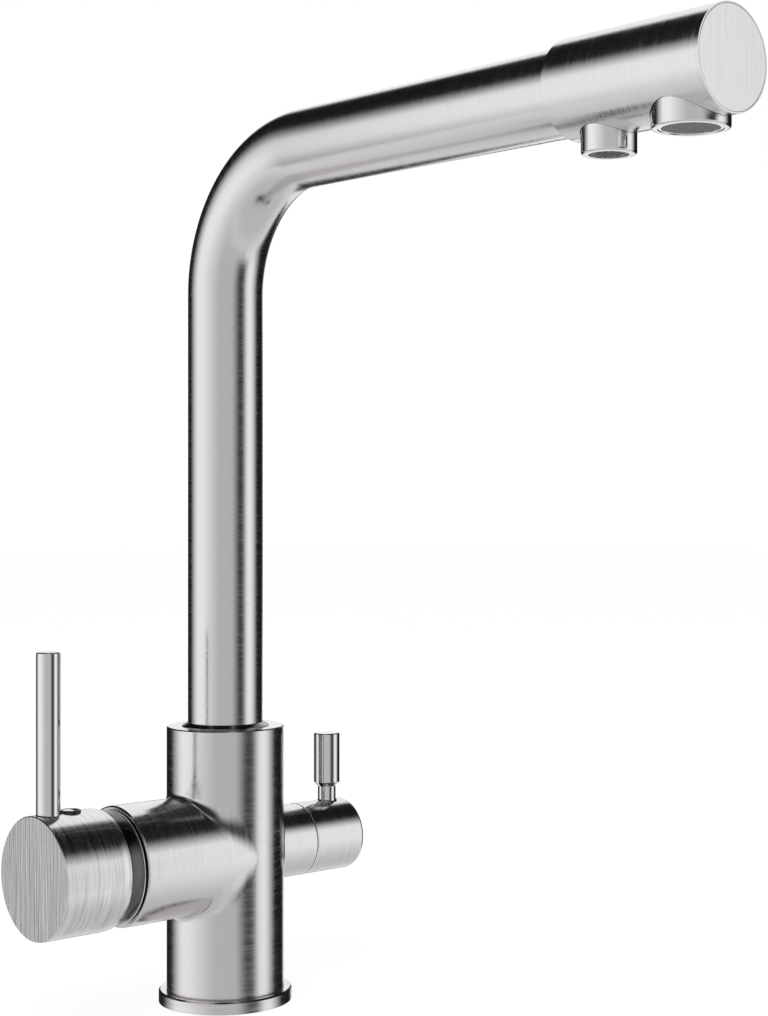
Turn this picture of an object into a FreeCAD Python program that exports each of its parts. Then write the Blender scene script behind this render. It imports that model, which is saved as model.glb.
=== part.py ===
import FreeCAD, Part
import math
import os

# Kitchen tap with a side lever for mains water, a small quarter-turn valve for filtered water
# and a high swivel spout with one outlet for each. Millimetres, +Z up, worktop at Z = 0.
# The spout points to -Y, the mixer handle to -X and the filter valve to +X.

# Column and its foot
COLUMN_DIA = 43.8
COLUMN_HEIGHT = 102.8
COLUMN_EDGE = 0.4
COLUMN_FOOT_DIA = 38.0
BASE_RING_DIA = 49.7
BASE_RING_HEIGHT = 4.6
BASE_RING_EDGE = 0.6
GASKET_WIDTH = 2.6
GASKET_THICKNESS = 1.8

# Sockets in the underside
SUPPLY_SOCKET_DIA = 8.92
SUPPLY_SOCKET_DEPTH = 12.0
SUPPLY_SETBACK = 8.1
SUPPLY_SPREAD = 15.0
FILTER_SOCKET_X = 10.5
STUD_SOCKET_DIA = 6.8
STUD_SOCKET_DEPTH = 16.0
STUD_SOCKET_X = 2.1
STUD_SPREAD = 24.6
WATERWAY_DIA = 6.0
MIXED_WAY_DIA = 5.0

# Mixer arm, counted from the column's axis, and the cartridge in its end
SIDE_AXIS_HEIGHT = 55.8
ARM_DIA = 43.6
ARM_LENGTH = 49.3
ARM_EDGE = 0.5
ARM_MOUTH_DIA = 38.6
CARTRIDGE_POCKET_DEPTH = 23.8
CARTRIDGE_DIA = 35.0
CARTRIDGE_NECK_DIA = 31.2
CARTRIDGE_SHOULDER = 14.5
CARTRIDGE_WALL = 1.1
CARTRIDGE_TOP_WALL = 2.5
CARTRIDGE_FOOT_THICKNESS = 4.4
PEG_DIA = 3.0
PEG_LENGTH = 2.4
PEG_SPREAD = 24.0
PORT_DIA = 3.6
FOOT_PORT_SPREAD = 11.2
FOOT_PORT_RISE = 4.1
DISC_PORT_SPREAD = 6.6
DISC_PORT_RISE = 5.3
MIX_PORT_DROP = 1.4
PORT_SEAL_WIDTH = 1.0
PORT_SEAL_THICKNESS = 1.4
FIXED_DISC_DIA = 28.4
FIXED_DISC_THICKNESS = 3.2
MOVING_DISC_DIA = 21.6
MOVING_DISC_THICKNESS = 2.4
MIXING_RECESS_DIA = 10.0
MIXING_RECESS_DEPTH = 1.3
SLIDER_DIA = 23.2
SLIDER_FLOOR = 0.4
NUT_LENGTH = 6.5
NUT_SLOT_WIDTH = 3.0
NUT_SLOT_DEPTH = 2.0
NUT_SLOTS = 6

# Lever that tilts the handle and slides the upper disc
TILT_DEGREES = 18.0
PIVOT_STANDOFF = 5.5
PIVOT_PIN_DIA = 3.0
PIVOT_PIN_RECESS = 1.0
LEVER_WIDTH = 7.4
LEVER_NECK_DIA = 3.8
LEVER_SQUARE_BACK = 9.0
LEVER_OUTER_LENGTH = 18.7
BALL_DIA = 5.0
FORK_DIA = 20.0
FORK_PLATE_THICKNESS = 2.8
FORK_OUTER_LENGTH = 3.0

# Dome cover and handle
HANDLE_DIA = 43.6
HANDLE_LENGTH = 26.4
HANDLE_RIM_STANDOFF = 1.5
HANDLE_RIM_INSET = 0.35
HANDLE_RIM_WALL = 0.35
DOME_GAP = 0.3
DOME_WALL = 1.5
DOME_SEAM = 0.6
HANDLE_TAPER = 3.1
HANDLE_EDGE = 0.35
HANDLE_FRONT_WALL = 4.5
HANDLE_CAVITY_DIA = 28.0
HUB_DIA = 15.0
HUB_BACK = 7.2
HUB_SCREW_BOSS_DIA = 7.2
HUB_SCREW_BOSS_GAP = 0.5
INDEX_SETBACK = 15.0
INDEX_DIA = 6.8
INDEX_DEPTH = 2.6
INDEX_RING_WALL = 0.75
INDEX_SINK = 0.3
INDEX_DOME = 0.7
GRUB_DIA = 5.0
GRUB_LENGTH = 8.0
ROD_DIA = 8.4
ROD_SETBACK = 6.0
ROD_HEIGHT = 56.7
ROD_EDGE = 0.35
ROD_SINK = 0.9
ROD_STUD_DIA = 5.0
ROD_STUD_LENGTH = 6.0

# Filter valve on the other side of the column
BOSS_DIA = 27.4
BOSS_LENGTH = 33.6
BOSS_BLEND = 1.2
VALVE_BORE_DIA = 18.4
VALVE_BORE_DEPTH = 18.8
VALVE_SEAL_THICKNESS = 1.5
VALVE_BODY_DIA = 17.0
VALVE_THREAD_LENGTH = 9.6
VALVE_FLANGE_GAP = 0.6
VALVE_FLANGE_THICKNESS = 3.0
VALVE_NECK_DIA = 12.0
VALVE_NECK_LENGTH = 2.6
VALVE_DISC_DIA = 14.0
VALVE_DISC_THICKNESS = 2.5
VALVE_PORT_DIA = 11.2
VALVE_HUB_DIA = 3.2
VALVE_PORT_ANGLE = 80.0
VALVE_WINDOW_WIDTH = 6.0
VALVE_LUG_DIA = 9.0
VALVE_LUG_ANGLE = 40.0
VALVE_LUG_HEIGHT = 1.2
SPINDLE_DIA = 7.8
SPINDLE_DRIVER_THICKNESS = 2.6
SPINDLE_SETBACK = 4.6
SPINDLE_FLAT = 3.2
SPINDLE_RING_SECTION = 1.5
CLIP_THICKNESS = 1.0
CLIP_DIA = 11.0
FILTER_WAY_DIA = 4.4
FILTER_WAY_OFFSET = 2.6
KNOB_DIA = 27.4
KNOB_LENGTH = 23.65
KNOB_SEAM = 0.35
KNOB_EDGE = 1.6
KNOB_WALL = 2.7
KNOB_CAVITY_DEPTH = 7.6
KNOB_LEVER_SETBACK = 7.95
KNOB_LEVER_NECK_DIA = 7.0
KNOB_LEVER_NECK_LENGTH = 5.5
KNOB_LEVER_GRIP_DIA = 10.1
KNOB_LEVER_GRIP_LENGTH = 20.9
KNOB_LEVER_SHOULDER = 1.7
KNOB_LEVER_STUD_DIA = 4.0
KNOB_LEVER_STUD_LENGTH = 4.5
KNOB_SCREW_DIA = 4.0
KNOB_SCREW_LENGTH = 7.0

# Spout foot in the column
SPOUT_FOOT_STEP = 2.0
SPOUT_FOOT_WALL = 4.0
SPOUT_FOOT_DEPTH = 17.4
SPOUT_FOOT_INSERT = 14.0
SPOUT_RING_SECTION = 2.4
SPOUT_RING_SPACING = 10.4
SPOUT_RING_DEPTH = 4.2
RETAINER_THICKNESS = 1.6
RETAINER_WIDTH = 2.0
RETAINER_ENTRY = 1.0
RETAINER_GAP_WIDTH = 4.0
MIXING_CHAMBER_HEIGHT = 3.0
SEAT_RING_WIDTH = 2.3
SEAT_RING_HEIGHT = 1.4
SEAT_RING_TOP_WIDTH = 0.15

# Spout tube and the inner hose
TUBE_DIA = 28.0
TUBE_WALL = 1.2
BEND_RADIUS = 49.0
SPOUT_HEIGHT = 313.5
HOSE_DIA = 8.0
HOSE_WALL = 1.0
HOSE_SOCKET_DEPTH = 14.0
HOSE_SUMP_HEIGHT = 5.4
HOSE_PLUG_DIA = 7.0
HOSE_PLUG_BORE_DIA = 3.2
HOSE_FLANGE_DIA = 11.0
HOSE_FLANGE_THICKNESS = 2.4
HOSE_BARB_LENGTH = 9.0
HOSE_RING_SECTION = 1.2
HOSE_FLANGE_GAP = 0.6

# Spout head and outlets, counted from the column's axis
SPOUT_REACH = 192.5
HEAD_STEP = 2.0
HEAD_REAR_EDGE = 0.9
HEAD_WATERWAY_DIA = 18.0
HEAD_NOSE_WALL = 3.6
TUBE_ENGAGEMENT = 5.0
TUBE_STOP_WALL = 0.65
CAP_RIM = 0.5
CAP_THICKNESS = 2.5
CAP_PLUG_LENGTH = 3.5
OUTLET_WEB = 11.45
OUTLET_SEAT_DROP = 10.5
SMALL_OUTLET_DIA = 17.3
SMALL_OUTLET_LENGTH = 11.1
SMALL_OUTLET_WALL = 2.45
SMALL_NECK_DIA = 12.0
SMALL_NECK_LENGTH = 4.0
SMALL_INSERT_DEPTH = 6.5
SMALL_BORE_DIA = 7.0
LARGE_OUTLET_DIA = 23.6
LARGE_OUTLET_LENGTH = 7.8
LARGE_OUTLET_WALL = 2.05
LARGE_NECK_DIA = 15.0
LARGE_NECK_LENGTH = 5.0
LARGE_BORE_DIA = 11.0
OUTLET_EDGE = 0.8
OUTLET_SEAM = 0.2
AERATOR_HEIGHT = 4.6
AERATOR_SEAL_THICKNESS = 1.2
AERATOR_WALL = 1.2
AERATOR_JETS = 12
SCREEN_THICKNESS = 0.4
SCREEN_RECESS = 0.2
SCREEN_PITCH = 1.9
SCREEN_HOLE_DIA = 1.4
ELBOW_STEP = 0.2
ELBOW_TOP = 5.0
ELBOW_BARB_LENGTH = 11.0

# Clearances
FIT_GAP = 0.05
RUNNING_GAP = 0.08
DISC_FILM = 0.03
END_GAP = 0.2
SLIDE_GAP = 0.3
LEVER_GAP = 0.15

# Sizes worked out from the ones above
COLUMN_R = COLUMN_DIA / 2
PIVOT_DISTANCE = ARM_LENGTH + PIVOT_STANDOFF
CARTRIDGE_SEAT = ARM_LENGTH - CARTRIDGE_POCKET_DEPTH
CARTRIDGE_INNER_R = CARTRIDGE_NECK_DIA / 2 - CARTRIDGE_WALL
DISC_BED = CARTRIDGE_SEAT + CARTRIDGE_FOOT_THICKNESS
DISC_PLANE = DISC_BED + FIXED_DISC_THICKNESS
MOVING_TOP = DISC_PLANE + DISC_FILM + MOVING_DISC_THICKNESS
WELL_FLOOR = MOVING_TOP + SLIDER_FLOOR
BALL_DISTANCE = WELL_FLOOR + LEVER_GAP + BALL_DIA / 2
SLIDER_END = BALL_DISTANCE + BALL_DIA / 2
BALL_ARM = PIVOT_DISTANCE - BALL_DISTANCE
DISC_TRAVEL = BALL_ARM * math.sin(math.radians(TILT_DEGREES))
DISC_START = -DISC_TRAVEL / 2
FORK_START = SLIDER_END + SLIDE_GAP
FORK_SHOULDER = FORK_START + FORK_PLATE_THICKNESS
HOUSING_INNER_TOP = FORK_SHOULDER + END_GAP
HOUSING_TOP = HOUSING_INNER_TOP + CARTRIDGE_TOP_WALL
NUT_START = CARTRIDGE_SEAT + CARTRIDGE_SHOULDER
NUT_END = NUT_START + NUT_LENGTH
HANDLE_R = HANDLE_DIA / 2
HANDLE_RIM = PIVOT_DISTANCE + HANDLE_RIM_STANDOFF
HANDLE_RIM_R = HANDLE_R - HANDLE_RIM_INSET
HANDLE_FACE = HANDLE_RIM + HANDLE_LENGTH
ROD_DISTANCE = HANDLE_FACE - ROD_SETBACK
INDEX_DISTANCE = HANDLE_FACE - INDEX_SETBACK
DOME_DIA = 2 * (HANDLE_RIM_R - HANDLE_RIM_WALL - DOME_GAP)
DOME_BACK = PIVOT_STANDOFF - DOME_SEAM
DOME_FRONT = INDEX_DISTANCE - HUB_SCREW_BOSS_DIA / 2 - PIVOT_DISTANCE - HUB_SCREW_BOSS_GAP
VALVE_SEAT = BOSS_LENGTH - VALVE_BORE_DEPTH
FILTER_WAY_X = VALVE_SEAT + FILTER_WAY_OFFSET
VALVE_BED = VALVE_SEAT + VALVE_SEAL_THICKNESS
VALVE_PLANE = VALVE_BED + VALVE_DISC_THICKNESS
SPINDLE_START = VALVE_PLANE + DISC_FILM + VALVE_DISC_THICKNESS
DRIVER_END = SPINDLE_START + SPINDLE_DRIVER_THICKNESS
VALVE_NECK_END = BOSS_LENGTH + VALVE_FLANGE_THICKNESS + VALVE_NECK_LENGTH
KNOB_START = BOSS_LENGTH + KNOB_SEAM
KNOB_END = KNOB_START + KNOB_LENGTH
KNOB_CAVITY_R = KNOB_DIA / 2 - KNOB_WALL
KNOB_LEVER_DISTANCE = KNOB_END - KNOB_LEVER_SETBACK
SPINDLE_END = KNOB_END - SPINDLE_SETBACK
SPOUT_FOOT_DIA = TUBE_DIA - 2 * SPOUT_FOOT_STEP
SPOUT_BORE_R = SPOUT_FOOT_DIA / 2 + RUNNING_GAP
SPOUT_FOOT_BOTTOM = COLUMN_HEIGHT - SPOUT_FOOT_DEPTH
SPOUT_FLOOR = SPOUT_FOOT_BOTTOM - MIXING_CHAMBER_HEIGHT
TUBE_START = COLUMN_HEIGHT + SEAT_RING_HEIGHT
TUBE_END = SPOUT_REACH - SMALL_OUTLET_DIA / 2 - TUBE_STOP_WALL
HEAD_DIA = TUBE_DIA + 2 * HEAD_STEP
HEAD_START = TUBE_END - TUBE_ENGAGEMENT
LARGE_OUTLET_REACH = SPOUT_REACH + (SMALL_OUTLET_DIA + LARGE_OUTLET_DIA) / 2 + OUTLET_WEB
HEAD_END = LARGE_OUTLET_REACH + LARGE_OUTLET_DIA / 2 + HEAD_NOSE_WALL
SMALL_OUTLET_DROP = OUTLET_SEAT_DROP + SMALL_OUTLET_LENGTH
LARGE_OUTLET_DROP = OUTLET_SEAT_DROP + LARGE_OUTLET_LENGTH
SMALL_INSERT_DIA = SMALL_OUTLET_DIA - 2 * SMALL_OUTLET_WALL
LARGE_INSERT_DIA = LARGE_OUTLET_DIA - 2 * LARGE_OUTLET_WALL
ELBOW_DIA = SMALL_NECK_DIA - 2 * ELBOW_STEP
ELBOW_FOOT = SMALL_NECK_LENGTH - OUTLET_SEAT_DROP


def point(x, y, z):
    return FreeCAD.Vector(x, y, z)


UP = point(0, 0, 1)
DOWN = point(0, 0, -1)
TO_HANDLE = point(-1, 0, 0)
TO_VALVE = point(1, 0, 0)
TO_FRONT = point(0, -1, 0)


def placed(shape, base, direction):
    """Turn a shape made on the local +Z axis to another direction and move it to its base."""
    turn = FreeCAD.Rotation(UP, direction)
    shape.Placement = FreeCAD.Placement(base, turn).multiply(shape.Placement)
    return shape


def handle_side(shape):
    return placed(shape, point(0, 0, SIDE_AXIS_HEIGHT), TO_HANDLE)


def valve_side(shape):
    return placed(shape, point(0, 0, SIDE_AXIS_HEIGHT), TO_VALVE)


def head_side(shape):
    return placed(shape, point(0, 0, SPOUT_HEIGHT), TO_FRONT)


def at_handle(distance, y=0.0, rise=0.0):
    return point(-distance, y, SIDE_AXIS_HEIGHT + rise)


def at_valve(distance, y=0.0, rise=0.0):
    return point(distance, y, SIDE_AXIS_HEIGHT + rise)


def at_head(distance, x=0.0, rise=0.0):
    return point(x, -distance, SPOUT_HEIGHT + rise)


def rod(dia, start, end):
    """Round bar between two points."""
    return Part.makeCylinder(dia / 2, (end - start).Length, start, end - start)


def block(low, high):
    """Box between two opposite corners."""
    size = high - low
    return Part.makeBox(size.x, size.y, size.z, low)


def lathe(outline):
    """Turned solid about local Z. A corner is (radius, height); with four values the first two
    are a point that an arc passes through on its way to the corner."""
    corners = [point(item[-2], 0, item[-1]) for item in outline]
    edges = []
    for index, item in enumerate(outline):
        start = corners[index - 1]
        if len(item) == 4:
            edges.append(Part.Arc(start, point(item[0], 0, item[1]), corners[index]).toShape())
        elif (corners[index] - start).Length > 1e-6:
            edges.append(Part.LineSegment(start, corners[index]).toShape())
    solid = Part.Face(Part.Wire(edges)).revolve(point(0, 0, 0), UP, 360)
    if solid.Volume < 0:
        solid.reverse()
    return solid


def sleeve(outer, inner, start, end):
    """Plain ring or tube about local Z."""
    return lathe([(inner / 2, start), (outer / 2, start), (outer / 2, end), (inner / 2, end)])


def ball_radius(ball_dia, offset):
    """Radius of a ball's section at an offset from its centre."""
    return math.sqrt((ball_dia / 2) ** 2 - offset ** 2)


def ball_arc(ball_dia, centre, start, end):
    """Outline item that follows a ball between two offsets from its centre."""
    radius = ball_dia / 2
    middle = (math.asin(start / radius) + math.asin(end / radius)) / 2
    return (
        radius * math.cos(middle),
        centre + radius * math.sin(middle),
        ball_radius(ball_dia, end),
        centre + end,
    )


def ring_cord(section, inside, height):
    """O-ring about local Z, given the diameter that it sits on."""
    major = inside / 2 + section / 2
    return Part.makeTorus(major, section / 2, point(0, 0, height), UP)


def only_solid(shape):
    return shape.removeSplitter().Solids[0]


def base_ring():
    outer = BASE_RING_DIA / 2
    inner = COLUMN_FOOT_DIA / 2 + FIT_GAP
    ring = lathe([
        (inner, 0),
        (outer, 0),
        (outer, BASE_RING_HEIGHT - BASE_RING_EDGE),
        (outer - BASE_RING_EDGE, BASE_RING_HEIGHT),
        (inner, BASE_RING_HEIGHT),
    ])
    groove_dia = gasket_middle_dia()
    groove = sleeve(groove_dia + GASKET_WIDTH, groove_dia - GASKET_WIDTH, -1, GASKET_THICKNESS)
    return only_solid(ring.cut(groove))


def gasket_middle_dia():
    return (BASE_RING_DIA + COLUMN_FOOT_DIA) / 2


def base_gasket():
    width = GASKET_WIDTH - 2 * FIT_GAP
    middle = gasket_middle_dia()
    return sleeve(middle + width, middle - width, 0, GASKET_THICKNESS)


def column_blank():
    """Column, mixer arm and filter boss before any hole is made."""
    foot = COLUMN_FOOT_DIA / 2
    column = lathe([
        (0, 0),
        (foot, 0),
        (foot, BASE_RING_HEIGHT),
        (COLUMN_R - COLUMN_EDGE, BASE_RING_HEIGHT),
        (COLUMN_R, BASE_RING_HEIGHT + COLUMN_EDGE),
        (COLUMN_R, COLUMN_HEIGHT - COLUMN_EDGE),
        (COLUMN_R - COLUMN_EDGE, COLUMN_HEIGHT),
        (0, COLUMN_HEIGHT),
    ])
    arm_r = ARM_DIA / 2
    arm = handle_side(lathe([
        (0, 0),
        (arm_r, 0),
        (arm_r, ARM_LENGTH - ARM_EDGE),
        (arm_r - ARM_EDGE, ARM_LENGTH),
        (0, ARM_LENGTH),
    ]))
    boss = rod(BOSS_DIA, at_valve(0), at_valve(BOSS_LENGTH))
    blank = only_solid(column.fuse([arm, boss]))
    return blank.makeFillet(BOSS_BLEND, boss_root(blank))


def boss_root(blank):
    """Edges where the filter boss leaves the column."""
    found = []
    for edge in blank.Edges:
        middle = edge.valueAt((edge.FirstParameter + edge.LastParameter) / 2)
        from_boss = math.hypot(middle.y, middle.z - SIDE_AXIS_HEIGHT)
        from_column = math.hypot(middle.x, middle.y)
        on_boss = abs(from_boss - BOSS_DIA / 2) < 0.01
        on_column = abs(from_column - COLUMN_R) < 0.01
        if on_boss and on_column and middle.x > 0:
            found.append(edge)
    return found


def supply_ways():
    """Hot and cold sockets, risers and the legs to the cartridge."""
    cuts = []
    for side in (-1, 1):
        x = -SUPPLY_SETBACK
        y = side * SUPPLY_SPREAD / 2
        leg_y = side * FOOT_PORT_SPREAD / 2
        leg_start = at_handle(SUPPLY_SETBACK, leg_y, FOOT_PORT_RISE)
        leg_end = at_handle(CARTRIDGE_SEAT, leg_y, FOOT_PORT_RISE)
        cuts.append(rod(SUPPLY_SOCKET_DIA, point(x, y, 0), point(x, y, SUPPLY_SOCKET_DEPTH)))
        cuts.append(rod(WATERWAY_DIA, point(x, y, 0), point(x, y, leg_start.z + WATERWAY_DIA / 2)))
        cuts.append(rod(PORT_DIA, leg_start, leg_end))
    return cuts


def mixed_way():
    """Mixed water leaves the cartridge towards the column and rises into the spout's bore."""
    setback = SPOUT_BORE_R - MIXED_WAY_DIA / 2 - SLIDE_GAP
    foot = at_handle(setback, 0, -MIX_PORT_DROP - MIXED_WAY_DIA / 2)
    leg_start = at_handle(setback, 0, -MIX_PORT_DROP)
    leg = rod(PORT_DIA, leg_start, at_handle(CARTRIDGE_SEAT, 0, -MIX_PORT_DROP))
    riser = rod(MIXED_WAY_DIA, foot, point(-setback, 0, SPOUT_FLOOR))
    return [leg, riser]


def filter_way():
    """Filtered water rises to the valve, and from the valve to the hose socket."""
    x = FILTER_SOCKET_X
    socket = rod(SUPPLY_SOCKET_DIA, point(x, 0, 0), point(x, 0, SUPPLY_SOCKET_DEPTH))
    riser = rod(WATERWAY_DIA, point(x, 0, 0), at_valve(x, 0, WATERWAY_DIA / 2))
    inlet = rod(FILTER_WAY_DIA, at_valve(x), at_valve(VALVE_SEAT))
    hose_foot = point(0, 0, SPOUT_FLOOR - HOSE_SOCKET_DEPTH)
    hose_socket_dia = HOSE_PLUG_DIA + 2 * RUNNING_GAP
    hose_socket = rod(hose_socket_dia, hose_foot, point(0, 0, SPOUT_FLOOR))
    valve_top = at_valve(FILTER_WAY_X, 0, VALVE_BODY_DIA / 2)
    corner = point(FILTER_WAY_X, 0, hose_foot.z + HOSE_SUMP_HEIGHT / 2)
    leave = rod(FILTER_WAY_DIA, valve_top, corner + point(0, 0, HOSE_SUMP_HEIGHT / 2))
    cross = rod(FILTER_WAY_DIA, corner, point(0, 0, corner.z))
    return [socket, riser, inlet, leave, cross, hose_socket]


def stud_sockets():
    cuts = []
    for side in (-1, 1):
        x = STUD_SOCKET_X
        y = side * STUD_SPREAD / 2
        cuts.append(rod(STUD_SOCKET_DIA, point(x, y, 0), point(x, y, STUD_SOCKET_DEPTH)))
    return cuts


def cartridge_pocket():
    bore = CARTRIDGE_DIA / 2 + FIT_GAP
    mouth = ARM_MOUTH_DIA / 2
    pocket = handle_side(lathe([
        (0, CARTRIDGE_SEAT),
        (bore, CARTRIDGE_SEAT),
        (bore, NUT_START - SLIDE_GAP),
        (mouth, NUT_START - SLIDE_GAP),
        (mouth, ARM_LENGTH + 1),
        (0, ARM_LENGTH + 1),
    ]))
    cuts = [pocket]
    for side in (-1, 1):
        rise = side * PEG_SPREAD / 2
        bottom = at_handle(CARTRIDGE_SEAT - PEG_LENGTH - END_GAP, 0, rise)
        cuts.append(rod(PEG_DIA + 2 * FIT_GAP, bottom, at_handle(CARTRIDGE_SEAT, 0, rise)))
    return cuts


def spout_bore():
    bore = rod(2 * SPOUT_BORE_R, point(0, 0, SPOUT_FLOOR), point(0, 0, COLUMN_HEIGHT + 1))
    middle = retainer_height()
    half = RETAINER_THICKNESS / 2 + RUNNING_GAP
    reach = SPOUT_BORE_R + RETAINER_ENTRY
    groove = rod(2 * reach, point(0, 0, middle - half), point(0, 0, middle + half))
    return [bore, groove]


def body_casting():
    """One casting with every waterway, socket and bore cut into it."""
    cuts = supply_ways() + mixed_way() + filter_way() + stud_sockets()
    cuts += cartridge_pocket() + spout_bore()
    cuts.append(rod(VALVE_BORE_DIA, at_valve(VALVE_SEAT), at_valve(BOSS_LENGTH + 1)))
    return only_solid(column_blank().cut(cuts))


def seat_ring():
    """Coned ring on the column's top that the spout turns on."""
    bore = SPOUT_BORE_R
    outer = TUBE_DIA / 2 + SEAT_RING_WIDTH
    top = TUBE_DIA / 2 + SEAT_RING_TOP_WIDTH
    return lathe([
        (bore, COLUMN_HEIGHT),
        (outer, COLUMN_HEIGHT),
        (outer, COLUMN_HEIGHT + SEAT_RING_TOP_WIDTH),
        (top, TUBE_START),
        (bore, TUBE_START),
    ])


def port_places(spread, rise):
    """Offsets of the cold, hot and mixed ports from the mixer's axis."""
    return [(-spread / 2, rise), (spread / 2, rise), (0, -MIX_PORT_DROP)]


def foot_ports(distance):
    places = port_places(FOOT_PORT_SPREAD, FOOT_PORT_RISE)
    return [at_handle(distance, y, rise) for y, rise in places]


def disc_ports(distance):
    places = port_places(DISC_PORT_SPREAD, DISC_PORT_RISE)
    return [at_handle(distance, y, rise) for y, rise in places]


def cartridge_seals():
    outer = PORT_DIA + 2 * PORT_SEAL_WIDTH
    rings = [
        placed(sleeve(outer, PORT_DIA, 0, PORT_SEAL_THICKNESS), centre, TO_HANDLE)
        for centre in foot_ports(CARTRIDGE_SEAT)
    ]
    return Part.makeCompound(rings)


def cartridge_base():
    """Foot of the cartridge, with seal beds below and ports that lead in to the discs."""
    start = CARTRIDGE_SEAT
    bed_top = start + PORT_SEAL_THICKNESS
    plate = rod(CARTRIDGE_DIA, at_handle(start), at_handle(DISC_BED))
    pegs = []
    for rise in (-PEG_SPREAD / 2, PEG_SPREAD / 2):
        peg_end = at_handle(start - PEG_LENGTH, 0, rise)
        pegs.append(rod(PEG_DIA, peg_end, at_handle(DISC_BED, 0, rise)))
    bed_dia = PORT_DIA + 2 * PORT_SEAL_WIDTH + 2 * FIT_GAP
    cuts = [rod(bed_dia, low, high) for low, high in zip(foot_ports(start), foot_ports(bed_top))]
    ends = zip(foot_ports(bed_top), disc_ports(DISC_BED))
    cuts += [rod(PORT_DIA, low, high) for low, high in ends]
    return only_solid(plate.fuse(pegs).cut(cuts))


def fixed_disc():
    disc = rod(FIXED_DISC_DIA, at_handle(DISC_BED), at_handle(DISC_PLANE))
    ends = zip(disc_ports(DISC_BED), disc_ports(DISC_PLANE))
    return only_solid(disc.cut([rod(PORT_DIA, low, high) for low, high in ends]))


def moving_disc():
    """Upper disc, drawn at the closed position, with the recess that joins the ports."""
    start = DISC_PLANE + DISC_FILM
    face = at_handle(start, 0, DISC_START)
    disc = rod(MOVING_DISC_DIA, face, at_handle(MOVING_TOP, 0, DISC_START))
    recess = rod(MIXING_RECESS_DIA, face, at_handle(start + MIXING_RECESS_DEPTH, 0, DISC_START))
    return only_solid(disc.cut(recess))


def disc_carrier():
    """Slider round the moving disc, with the well for the lever's ball."""
    start = DISC_PLANE + SLIDE_GAP
    carrier = rod(SLIDER_DIA, at_handle(start, 0, DISC_START), at_handle(SLIDER_END, 0, DISC_START))
    bed_dia = MOVING_DISC_DIA + 2 * FIT_GAP
    bed = rod(bed_dia, at_handle(start, 0, DISC_START), at_handle(MOVING_TOP, 0, DISC_START))
    well = rod(BALL_DIA + 2 * LEVER_GAP, at_handle(WELL_FLOOR), at_handle(SLIDER_END + 1))
    return only_solid(carrier.cut([bed, well]))


def cartridge_housing():
    outer = CARTRIDGE_DIA / 2
    neck = CARTRIDGE_NECK_DIA / 2
    hole = FORK_DIA / 2 + RUNNING_GAP
    return handle_side(lathe([
        (CARTRIDGE_INNER_R, DISC_BED),
        (outer, DISC_BED),
        (outer, NUT_START),
        (neck, NUT_START),
        (neck, HOUSING_TOP),
        (hole, HOUSING_TOP),
        (hole, HOUSING_INNER_TOP),
        (CARTRIDGE_INNER_R, HOUSING_INNER_TOP),
    ]))


def lever_fork():
    """Collar that turns in the housing and holds the lever's pin between two cheeks."""
    plate_r = CARTRIDGE_INNER_R - SLIDE_GAP
    neck_r = FORK_DIA / 2
    fork_end = PIVOT_DISTANCE + FORK_OUTER_LENGTH
    fork = handle_side(lathe([
        (0, FORK_START),
        (plate_r, FORK_START),
        (plate_r, FORK_SHOULDER),
        (neck_r, FORK_SHOULDER),
        (neck_r, fork_end),
        (0, fork_end),
    ]))
    half = LEVER_WIDTH / 2 + LEVER_GAP
    bottom = -BALL_DIA / 2 - LEVER_GAP
    top = DISC_TRAVEL - bottom
    plate_slot = block(at_handle(FORK_SHOULDER, -half, bottom), at_handle(FORK_START, half, top))
    neck_slot = block(at_handle(fork_end + 1, -half, -neck_r), at_handle(FORK_SHOULDER, half, neck_r))
    pin_hole = rod(PIVOT_PIN_DIA, at_handle(PIVOT_DISTANCE, -neck_r), at_handle(PIVOT_DISTANCE, neck_r))
    return only_solid(fork.cut([plate_slot, neck_slot, pin_hole]))


def pivot_pin():
    half = FORK_DIA / 2 - PIVOT_PIN_RECESS
    return rod(PIVOT_PIN_DIA, at_handle(PIVOT_DISTANCE, -half), at_handle(PIVOT_DISTANCE, half))


def cartridge_lever():
    """Square stem with a hole for its pin, a round neck and a ball end."""
    half = LEVER_WIDTH / 2
    back = PIVOT_DISTANCE - LEVER_SQUARE_BACK
    front = PIVOT_DISTANCE + LEVER_OUTER_LENGTH
    square = block(at_handle(front, -half, -half), at_handle(back, half, half))
    neck = rod(LEVER_NECK_DIA, at_handle(BALL_DISTANCE), at_handle(back + 1))
    ball = Part.makeSphere(BALL_DIA / 2, at_handle(BALL_DISTANCE))
    hole_dia = PIVOT_PIN_DIA + 2 * RUNNING_GAP
    hole = rod(hole_dia, at_handle(PIVOT_DISTANCE, -half - 1), at_handle(PIVOT_DISTANCE, half + 1))
    return only_solid(square.fuse([neck, ball]).cut(hole))


def cartridge_nut():
    outer = ARM_MOUTH_DIA / 2 - FIT_GAP
    inner = CARTRIDGE_NECK_DIA / 2 + FIT_GAP
    nut = handle_side(sleeve(2 * outer, 2 * inner, NUT_START, NUT_END))
    slots = []
    for index in range(NUT_SLOTS // 2):
        slot = Part.makeBox(
            2 * outer + 2, NUT_SLOT_WIDTH, NUT_SLOT_DEPTH + 1,
            point(-outer - 1, -NUT_SLOT_WIDTH / 2, NUT_END - NUT_SLOT_DEPTH),
        )
        slot.rotate(point(0, 0, 0), UP, index * 360 / NUT_SLOTS)
        slots.append(handle_side(slot))
    return only_solid(nut.cut(slots))


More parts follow.
